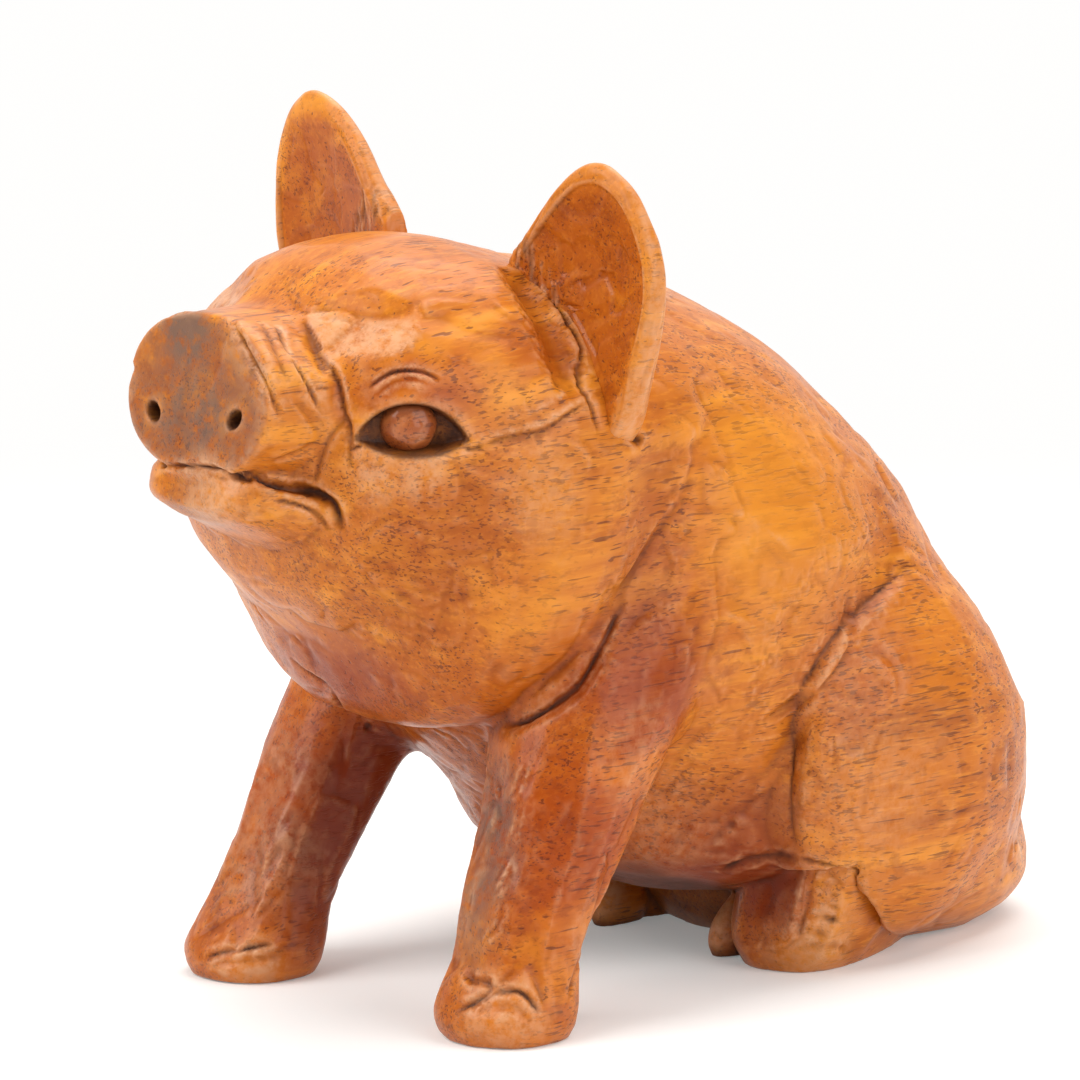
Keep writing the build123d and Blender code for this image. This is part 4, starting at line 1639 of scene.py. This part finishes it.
@dataclass
class Eye(Paired):
    """A bead with an engraved ring round its pupil."""

    kind: str = "eye"
    diameter: float = 6.0
    spread: float = 15.4
    reach: float = 41.8
    height: float = 64.4
    forward_shift: float = 3.0
    turn: float = 59.0
    ring_angle: float = 27.0
    ring_width: float = 7.0
    ring_depth: float = 0.07
    rows: int = 96
    columns: int = 128

    def carve(self) -> bpy.types.Object:
        """Turn the bead about its line of sight and engrave it.

        Returns:
            The finished piece.
        """
        polar = np.linspace(0.01, math.pi - 0.01, self.rows)[:, None]
        round_ = np.linspace(0, 2 * math.pi, self.columns, endpoint=False)[None, :]
        groove = np.exp(-((np.degrees(polar) - self.ring_angle) / self.ring_width) ** 2)
        radius = self.diameter / 2 - 0.02 - self.ring_depth * groove
        turn = math.radians(self.side * self.turn)
        sight = np.array([math.sin(turn), -math.cos(turn), 0])
        across = np.array([math.cos(turn), math.sin(turn), 0])
        up = np.array([0.0, 0.0, 1.0])
        shape = (
            (radius * np.cos(polar) * np.ones_like(round_))[..., None] * sight
            + (radius * np.sin(polar) * np.cos(round_))[..., None] * across
            + (radius * np.sin(polar) * np.sin(round_))[..., None] * up
        )
        middle = np.array([self.side * self.spread, self.forward_shift - self.reach, self.height])
        skin = grid_skin(shape + middle)
        skin.roughen(1.4, 0.10, 21)
        # A painted highlight swirls along the engraved ring; the lid's painted shadow lies on the bead's
        # top, and painted shade darkens it towards its sides and back, where it sinks into the socket.
        angle = np.repeat(np.degrees(polar), self.columns, axis=1).ravel()
        angle = angle + 14 * lattice_noise(skin.points, 1.8, 22)
        swirl = 0.6 + 0.4 * np.cos(2 * np.tile(round_.ravel(), self.rows) + 1.0)
        skin.worn = 0.6 * swirl * np.exp(-((angle - self.ring_angle) / 8) ** 2)
        shaded = 0.55 * smooth_step(0.6, 2.4, skin.points[:, 2] - self.height)
        skin.cut = np.maximum(0.7 * smooth_step(62, 88, angle), shaded)
        skin.tone = -0.5 * smooth_step(18, 50, angle)
        return skin.build(f"{self.node}_bead", self.node)


@dataclass
class Tail:
    """A tapering curl that lies on the rump, from a peg that goes into it."""

    root_radius: float = 1.7
    tip_radius: float = 0.9
    curl: float = 3.6
    height: float = 27.0
    back: float = 47.8
    forward_shift: float = 3.0
    root_length: float = 6.0
    slope: float = 12.0
    sweep: float = 250.0
    bend: float = 1.4
    rings: int = 120
    columns: int = 48

    def path(self) -> np.ndarray:
        """The middle line: a straight peg, a quarter bend and the curl's arc.

        Returns:
            The line's points, from the peg's end to the tip.
        """
        peg = np.linspace(-self.root_length, -self.bend, 12)
        straight = np.stack([0 * peg, peg, 0 * peg + self.curl], axis=1)
        quarter = np.linspace(0, math.pi / 2, 10)[1:-1]
        corner = np.stack([
            self.bend * (1 - np.cos(quarter)), -self.bend + self.bend * np.sin(quarter),
            0 * quarter + self.curl,
        ], axis=1)
        start = self.bend / self.curl
        angle = np.linspace(start, math.radians(self.sweep), self.rings - 20)
        arc = np.stack([self.curl * np.sin(angle), 0 * angle, self.curl * np.cos(angle)], axis=1)
        return np.concatenate([straight, corner, arc])

    def carve(self) -> bpy.types.Object:
        """Carry a shrinking circle along the line, with round ends, and paint shade into its hollows and
        highlight onto its ridges.

        Returns:
            The finished piece.
        """
        path = self.path()
        run = np.gradient(path, axis=0)
        run /= np.linalg.norm(run, axis=1)[:, None]
        gone = np.concatenate([[0], np.cumsum(np.linalg.norm(np.diff(path, axis=0), axis=1))])
        share = gone / gone[-1]
        radius = self.root_radius + share * (self.tip_radius - self.root_radius)
        for end in (gone, gone[-1] - gone):
            radius = radius * np.sqrt(np.clip(1 - np.clip(1 - end / self.tip_radius, 0, 0.999) ** 2, 0, 1))
        frames = [np.array([0.0, 0.0, 1.0])]
        for way in run[1:]:
            side = frames[-1] - way * (frames[-1] @ way)
            frames.append(side / np.linalg.norm(side))
        first = np.array(frames)
        second = np.cross(run, first)
        around = np.linspace(0, 2 * math.pi, self.columns, endpoint=False)
        sheet = path[:, None] + radius[:, None, None] * (
            first[:, None] * np.cos(around)[None, :, None] + second[:, None] * np.sin(around)[None, :, None]
        )
        tilt = rotation(0, self.slope)
        skin = grid_skin(sheet @ tilt.T + (0, self.back + self.forward_shift, self.height))
        skin.roughen(2.0, 0.08, 31)
        skin.cut = np.full(len(skin.points), 0.12)
        skin.weather(0.8)
        return skin.build("tail_curl", "tail")


class Nodes:
    """A node tree with short calls to add, set and link."""

    def __init__(self, tree: bpy.types.NodeTree) -> None:
        """Work on this tree."""
        self.tree = tree

    @classmethod
    def fresh(cls, owner: bpy.types.Material | bpy.types.World) -> "Nodes":
        """The emptied tree of a material or world.

        Args:
            owner: the material or world.

        Returns:
            The emptied tree, ready for nodes.
        """
        owner.use_nodes = True
        owner.node_tree.nodes.clear()
        return cls(owner.node_tree)

    def add(self, kind: str, **inputs: object) -> bpy.types.Node:
        """Add a node and set or link its inputs; settings start with set_.

        Args:
            kind: the node's type, without ShaderNode.
            inputs: socket values or output sockets by name, and set_name=value settings.

        Returns:
            The node.
        """
        node = self.tree.nodes.new("ShaderNode" + kind)
        for name, value in inputs.items():
            if name.startswith("set_"):
                setattr(node, name[4:], value)
        for name, value in inputs.items():
            if not name.startswith("set_"):
                self.feed(node.inputs[name.replace("_", " ")], value)
        return node

    def feed(self, socket: bpy.types.NodeSocket, value: object) -> None:
        """Link an output to a socket, or write a value into it.

        Args:
            socket: the input.
            value: an output socket, or a value of the input's type.
        """
        if isinstance(value, bpy.types.NodeSocket):
            self.tree.links.new(value, socket)
        else:
            socket.default_value = value

    def math(self, operation: str, *values: object, clamp: bool = False) -> bpy.types.NodeSocket:
        """A Math node's result.

        Args:
            operation: what the node does.
            values: its inputs in order.
            clamp: whether to keep the result from 0 to 1.

        Returns:
            The result.
        """
        node = self.tree.nodes.new("ShaderNodeMath")
        node.operation, node.use_clamp = operation, clamp
        for socket, value in zip(node.inputs, values):
            self.feed(socket, value)
        return node.outputs[0]

    def times(self, first: object, second: object, clamp: bool = False) -> bpy.types.NodeSocket:
        """Two values multiplied."""
        return self.math("MULTIPLY", first, second, clamp=clamp)

    def blend(self, share: object, first: bpy.types.Node, second: bpy.types.Node) -> bpy.types.Node:
        """A shader mixed from two by a share.

        Args:
            share: how much of the second one shows.
            first: a shader.
            second: another shader.

        Returns:
            The mixing node.
        """
        node = self.add("MixShader", Fac=share)
        self.feed(node.inputs[1], first.outputs[0])
        self.feed(node.inputs[2], second.outputs[0])
        return node

    def mix(self, share: object, first: object, second: object, blend: str = "MIX") -> bpy.types.NodeSocket:
        """A colour mixed from two by a share.

        Args:
            share: how much of the second one shows.
            first: a colour.
            second: another colour.
            blend: how the second one is laid over the first.

        Returns:
            The colour.
        """
        node = self.tree.nodes.new("ShaderNodeMix")
        node.data_type, node.blend_type, node.clamp_factor = "RGBA", blend, True
        for index, value in ((0, share), (6, first), (7, second)):
            self.feed(node.inputs[index], value)
        return node.outputs[2]

    def ramp(self, value: object, low: float, high: float) -> bpy.types.NodeSocket:
        """0 below low, 1 above high, smooth between; low may be the larger.

        Args:
            value: what is read.
            low: where the result is 0.
            high: where it is 1.

        Returns:
            The result.
        """
        node = self.add("MapRange", set_interpolation_type="SMOOTHSTEP", Value=value)
        for socket, number in zip(node.inputs[1:5], (low, high, 0, 1)):
            socket.default_value = number
        return node.outputs[0]

    def noise(self, where: object, scale: float, detail: float = 2.0, rough: float = 0.5,
              distort: float = 0.0) -> bpy.types.NodeSocket:
        """A noise texture's value."""
        node = self.add("TexNoise", Vector=where, Scale=scale, Detail=detail, Roughness=rough,
                        Distortion=distort)
        return node.outputs[0]

    def along(self, where: object, stretch: float, *settings: float) -> bpy.types.NodeSocket:
        """Noise drawn out along the grain, which runs along Y; a small share draws it out far."""
        return self.noise(self.add("Mapping", Vector=where, Scale=(1, stretch, 1)).outputs[0], *settings)

    def mark(self, name: str) -> bpy.types.NodeSocket:
        """A mesh attribute's value."""
        return self.add("Attribute", set_attribute_name=name).outputs["Fac"]


def group(name: str, inputs: dict[str, str], outputs: dict[str, str]) -> tuple[Nodes, dict, bpy.types.Node]:
    """Start a shader node group with named sockets.

    Args:
        name: the group's name.
        inputs: socket names and their types, such as Color or Float.
        outputs: the same for what it puts out.

    Returns:
        Its nodes, its input sockets by name, and its output node.
    """
    tree = bpy.data.node_groups.new(name, "ShaderNodeTree")
    for way, sockets in (("INPUT", inputs), ("OUTPUT", outputs)):
        for label, kind in sockets.items():
            tree.interface.new_socket(name=label, in_out=way, socket_type="NodeSocket" + kind)
    nodes = Nodes(tree)
    start = tree.nodes.new("NodeGroupInput")
    end = tree.nodes.new("NodeGroupOutput")
    return nodes, {socket.name: socket for socket in start.outputs}, end


def grain_group() -> bpy.types.NodeTree:
    """Wood with its grain along Y: broad streaks, fine fibre, and pores that are dashes on the
    flanks and dots on end grain.

    Returns:
        The group's tree.
    """
    nodes, given, end = group(
        "wood_grain",
        {"Vector": "Vector", "Light": "Color", "Middle": "Color", "Deep": "Color", "Pore": "Color",
         "Pores": "Float"},
        {"Color": "Color", "Pore Mask": "Float", "Height": "Float"},
    )
    where = given["Vector"]
    broad = nodes.along(where, 0.4, 48, 3, 0.55, 0.4)
    streak = nodes.along(where, 0.07, 330, 3, 0.6, 0.3)
    fibre = nodes.along(where, 0.10, 2100, 2, 0.6)
    blotch = nodes.along(where, 0.5, 700, 3, 0.65)
    level = nodes.math("ADD", nodes.times(broad, 0.45), nodes.times(streak, 0.55))
    shaded = nodes.mix(0.75, given["Middle"], given["Deep"])
    color = nodes.mix(nodes.ramp(level, 0.28, 0.48), shaded, given["Middle"])
    color = nodes.mix(nodes.ramp(level, 0.48, 0.66), color, given["Light"])
    color = nodes.mix(nodes.times(nodes.ramp(fibre, 0.50, 0.68), 0.40), color, given["Light"])
    color = nodes.mix(nodes.times(nodes.ramp(blotch, 0.52, 0.66), 0.40), color, given["Deep"])
    crowd = nodes.ramp(nodes.along(where, 0.5, 130, 2), 0.36, 0.62)
    fine = nodes.ramp(nodes.along(where, 0.09, 3800, 1, 0.5), 0.58, 0.66)
    long = nodes.ramp(nodes.along(where, 0.055, 2400, 1, 0.5), 0.66, 0.72)
    pores = nodes.math("MAXIMUM", nodes.times(fine, crowd), long)
    pores = nodes.times(pores, given["Pores"], clamp=True)
    nodes.feed(end.inputs["Color"], nodes.mix(pores, color, given["Pore"]))
    nodes.feed(end.inputs["Pore Mask"], pores)
    bulge = nodes.times(fibre, 0.3)
    nodes.feed(end.inputs["Height"], nodes.math("SUBTRACT", bulge, pores))
    return nodes.tree


def marks_group() -> bpy.types.NodeTree:
    """What the mesh's marks add: dark cuts, painted shade with dark wax, pale edges, worn wood and painted
    highlights, and tinted patches, mostly painted light and shade.

    Returns:
        The group's tree.
    """
    nodes, given, end = group(
        "carving_marks",
        {"Vector": "Vector", "Color": "Color", "Light": "Color", "Deep": "Color", "Red": "Color",
         "Cut": "Color", "Grey": "Color", "Pale": "Color"},
        {"Color": "Color", "Dull": "Float"},
    )
    where = given["Vector"]
    patchy = nodes.noise(where, 700, 3, 0.65)
    tone, red, grey = nodes.mark("tone"), nodes.mark("red"), nodes.mark("grey")
    # Tone lights and darkens the wood, mostly painted light and shade; red multiplies in painted shade and
    # redder wood; grey smudges are greyer wood.
    color = nodes.mix(nodes.times(tone, 0.8, clamp=True), given["Color"], given["Light"])
    under = nodes.times(tone, -0.8, clamp=True)
    color = nodes.mix(under, color, given["Deep"])
    color = nodes.mix(nodes.times(red, 0.9, clamp=True), color, given["Red"], "MULTIPLY")
    smudge = nodes.times(grey, nodes.ramp(patchy, 0.20, 0.62), clamp=True)
    color = nodes.mix(nodes.times(smudge, 0.85), color, given["Grey"])
    # Pale is worn wood and painted highlight; the cut colour is painted shade with dark wax.
    worn, cut = nodes.mark("worn"), nodes.mark("cut")
    rub = nodes.times(worn, nodes.ramp(patchy, 0.25, 0.65), clamp=True)
    color = nodes.mix(nodes.times(rub, 0.8), color, given["Pale"])
    uneven = nodes.math("ADD", 0.65, nodes.times(patchy, 0.6))
    dirt = nodes.times(cut, uneven, clamp=True)
    nodes.feed(end.inputs["Color"], nodes.mix(dirt, color, given["Cut"]))
    nodes.feed(end.inputs["Dull"], dirt)
    return nodes.tree


@dataclass(frozen=True)
class WoodFinish:
    """Waxed carving wood, from its colours and how glossy the wax is."""

    name: str
    light: Color = (0.77, 0.275, 0.022, 1)
    middle: Color = (0.55, 0.148, 0.010, 1)
    # deep is the grain's dark wood and also where painted shade darkens it.
    deep: Color = (0.28, 0.056, 0.004, 1)
    # red is multiplied in, for painted shade and redder wood.
    red: Color = (0.72, 0.43, 0.25, 1)
    # pale is the colour of worn wood and of painted sheen.
    pale: Color = (0.72, 0.370, 0.190, 1)
    pore: Color = (0.12, 0.026, 0.008, 1)
    # cut is the painted shade in cuts and hollows, with dark wax.
    cut: Color = (0.045, 0.012, 0.004, 1)
    grey: Color = (0.16, 0.105, 0.078, 1)
    pores: float = 0.7
    roughness: float = 0.36
    coat: float = 0.12
    coat_roughness: float = 0.15
    refraction: float = 1.27
    rough_spread: float = 0.16
    rough_dirt: float = 0.35
    bump_strength: float = 0.55
    bump_distance: float = 0.00012

    def material(self, grain: bpy.types.NodeTree, marks: bpy.types.NodeTree) -> bpy.types.Material:
        """Make the material.

        Args:
            grain: the group that draws the wood.
            marks: the group that adds what carving did.

        Returns:
            The material, with its gloss on the shader's own sockets.
        """
        made = bpy.data.materials.new(self.name)
        nodes = Nodes.fresh(made)
        where = nodes.add("TexCoord").outputs["Object"]
        wood = nodes.add("Group", set_node_tree=grain, Vector=where, Light=self.light, Middle=self.middle,
                         Deep=self.deep, Pore=self.pore, Pores=self.pores)
        worked = nodes.add("Group", set_node_tree=marks, Vector=where, Color=wood.outputs["Color"],
                           Light=self.light, Deep=self.deep, Red=self.red, Cut=self.cut, Grey=self.grey,
                           Pale=self.pale)
        patchy = nodes.noise(where, 260, 2)
        uneven = nodes.times(patchy, self.rough_spread)
        rough = nodes.math("ADD", self.roughness - self.rough_spread / 2, uneven)
        dull = nodes.times(worked.outputs["Dull"], self.rough_dirt)
        rough = nodes.math("ADD", rough, dull, clamp=True)
        bump = nodes.add("Bump", Strength=self.bump_strength, Distance=self.bump_distance,
                         Height=wood.outputs["Height"])
        shader = nodes.add("BsdfPrincipled", Base_Color=worked.outputs["Color"], Roughness=rough,
                           Normal=bump.outputs[0])
        shader.inputs["Coat Weight"].default_value = self.coat
        shader.inputs["Coat Roughness"].default_value = self.coat_roughness
        shader.inputs["IOR"].default_value = self.refraction
        nodes.add("OutputMaterial", Surface=shader.outputs[0])
        return made


@dataclass(frozen=True)
class Lamp:
    """A square soft light; its place is given along the camera's right, its view and upwards."""

    name: str
    right: float
    ahead: float
    high: float
    size: float
    power: float

    def hang(self) -> None:
        """Add the lamp to the scene, turned to the pig's middle."""
        right, _, ahead = VIEW.axes()
        data = bpy.data.lights.new(self.name, "AREA")
        data.shape, data.size, data.energy = "SQUARE", self.size, self.power
        made = placed(self.name, data)
        made.location = Vector(right * self.right + ahead * self.ahead + np.array([0, 0, self.high]))
        aim = Vector(PIG_MIDDLE) - made.location
        made.rotation_euler = aim.to_track_quat("-Z", "Y").to_euler()


PIG_MIDDLE = (0, 0, 0.045)
WHITE = (1.0, 0.995, 0.985, 1)
LAMPS = (
    Lamp("key", -0.42, -0.22, 0.38, 0.45, 2.9),
    Lamp("top", 0.10, 0.16, 0.60, 0.60, 3.5),
    Lamp("fill", 0.45, -0.35, 0.20, 0.50, 2.1),
)


@dataclass
class Studio:
    """A plain pale floor that runs out into white, and soft light from the pig's front left."""

    floor_size: float = 6.0
    floor_color: Color = (0.86, 0.85, 0.83, 1)
    floor_lift: float = 0.19
    lift_color: Color = (0.93, 1.0, 1.0, 1)
    shadow_end: float = 0.10
    white_start: float = 0.30
    room_color: Color = (1.0, 0.99, 0.975, 1)
    room_light: float = 0.24
    backdrop: tuple[float, float, float] = (-0.74, 0.67, 0.0)
    backdrop_start: float = 0.05
    backdrop_full: float = 0.70

    def floor(self) -> None:
        """A square whose shadows fade out into the background's white."""
        half = self.floor_size / 2
        mesh = bpy.data.meshes.new("floor")
        mesh.from_pydata(
            [(-half, -half, 0), (half, -half, 0), (half, half, 0), (-half, half, 0)], [], [(0, 1, 2, 3)]
        )
        made = placed("floor", mesh)
        finish = bpy.data.materials.new("pale_floor")
        nodes = Nodes.fresh(finish)
        where = nodes.add("TexCoord").outputs["Object"]
        away = nodes.add("VectorMath", set_operation="LENGTH")
        nodes.feed(away.inputs[0], where)
        far = nodes.ramp(away.outputs["Value"], self.shadow_end, self.white_start)
        path = nodes.add("LightPath")
        plain = nodes.add("BsdfDiffuse", Color=self.floor_color)
        glow = nodes.add("Emission", Color=WHITE, Strength=1.0)
        lift = nodes.add("Emission", Color=self.lift_color, Strength=self.floor_lift)
        near = nodes.add("AddShader")
        nodes.feed(near.inputs[0], plain.outputs[0])
        nodes.feed(near.inputs[1], lift.outputs[0])
        seen = nodes.blend(far, near, glow)
        shown = nodes.math("MAXIMUM", path.outputs["Is Camera Ray"], path.outputs["Is Glossy Ray"])
        shown = nodes.math("MAXIMUM", shown, path.outputs["Is Transmission Ray"])
        nodes.add("OutputMaterial", Surface=nodes.blend(shown, plain, seen).outputs[0])
        mesh.materials.append(finish)

    def world(self) -> None:
        """White where the camera or a reflection sees it, and a dimmer light on the wood."""
        world = bpy.data.worlds.new("white_room")
        bpy.context.scene.world = world
        nodes = Nodes.fresh(world)
        path = nodes.add("LightPath")
        way = nodes.add("VectorMath", set_operation="DOT_PRODUCT")
        nodes.feed(way.inputs[0], nodes.add("TexCoord").outputs["Generated"])
        nodes.feed(way.inputs[1], self.backdrop)
        behind = nodes.ramp(way.outputs["Value"], self.backdrop_start, self.backdrop_full)
        mirrored = nodes.times(path.outputs["Is Glossy Ray"], behind)
        shown = nodes.math("MAXIMUM", path.outputs["Is Camera Ray"], mirrored)
        shown = nodes.math("MAXIMUM", shown, path.outputs["Is Transmission Ray"])
        room = nodes.add("Background", Color=self.room_color, Strength=self.room_light)
        white = nodes.add("Background", Color=WHITE, Strength=1.0)
        nodes.add("OutputWorld", Surface=nodes.blend(shown, room, white).outputs[0])

    def build(self) -> None:
        """Set up floor, room, lamps and camera."""
        self.floor()
        self.world()
        for lamp in LAMPS:
            lamp.hang()
        VIEW.camera()
        bpy.context.scene.view_settings.view_transform = "Standard"


def dress(piece: bpy.types.Object, node: str, finish: bpy.types.Material) -> None:
    """Give a piece its finish, stand it for its node and let it ride on the figure.

    Args:
        piece: the object.
        node: the frame's node that it stands for.
        finish: its material.
    """
    piece.data.materials.clear()
    piece.data.materials.append(finish)
    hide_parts(node)
    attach(piece, "root")
    LOG.info("%s stands for %s: %d faces", piece.name, node, len(piece.data.polygons))


def main() -> None:
    """Build the pieces in order, dress them, set the studio and note the sizes."""
    logging.basicConfig(level=logging.INFO, format="%(name)s: %(message)s")
    grain, marks = grain_group(), marks_group()
    wood = WoodFinish("waxed_wood").material(grain, marks)
    eye_wood = WoodFinish("eye_wood", light=(0.50, 0.15, 0.040, 1), middle=(0.36, 0.085, 0.018, 1),
                          deep=(0.17, 0.032, 0.008, 1), pale=(0.60, 0.26, 0.12, 1),
                          coat=0.4).material(grain, marks)
    bamboo = WoodFinish("bamboo", light=(0.80, 0.62, 0.34, 1), middle=(0.70, 0.50, 0.25, 1),
                        deep=(0.52, 0.34, 0.15, 1), pores=0.3).material(grain, marks)
    dress(CarvedBlock().carve(), "carved_body", wood)
    right_ear = Ear(-1, height=33.5, lean=6.0, spread=18.7, reach=20.8, tip_shift=0.06, corner_shift=0.085)
    for ear in (Ear(1), right_ear):
        dress(ear.carve(), ear.node, wood)
    for side in (1, -1):
        eye = Eye(side)
        dress(eye.carve(), eye.node, eye_wood)
    dress(Tail().carve(), "tail", wood)
    for name in ("ear_pin_left", "ear_pin_right"):
        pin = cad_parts[name]
        pin.data.materials.clear()
        pin.data.materials.append(bamboo)
    Studio().build()


if __name__ == "__main__":
    main()
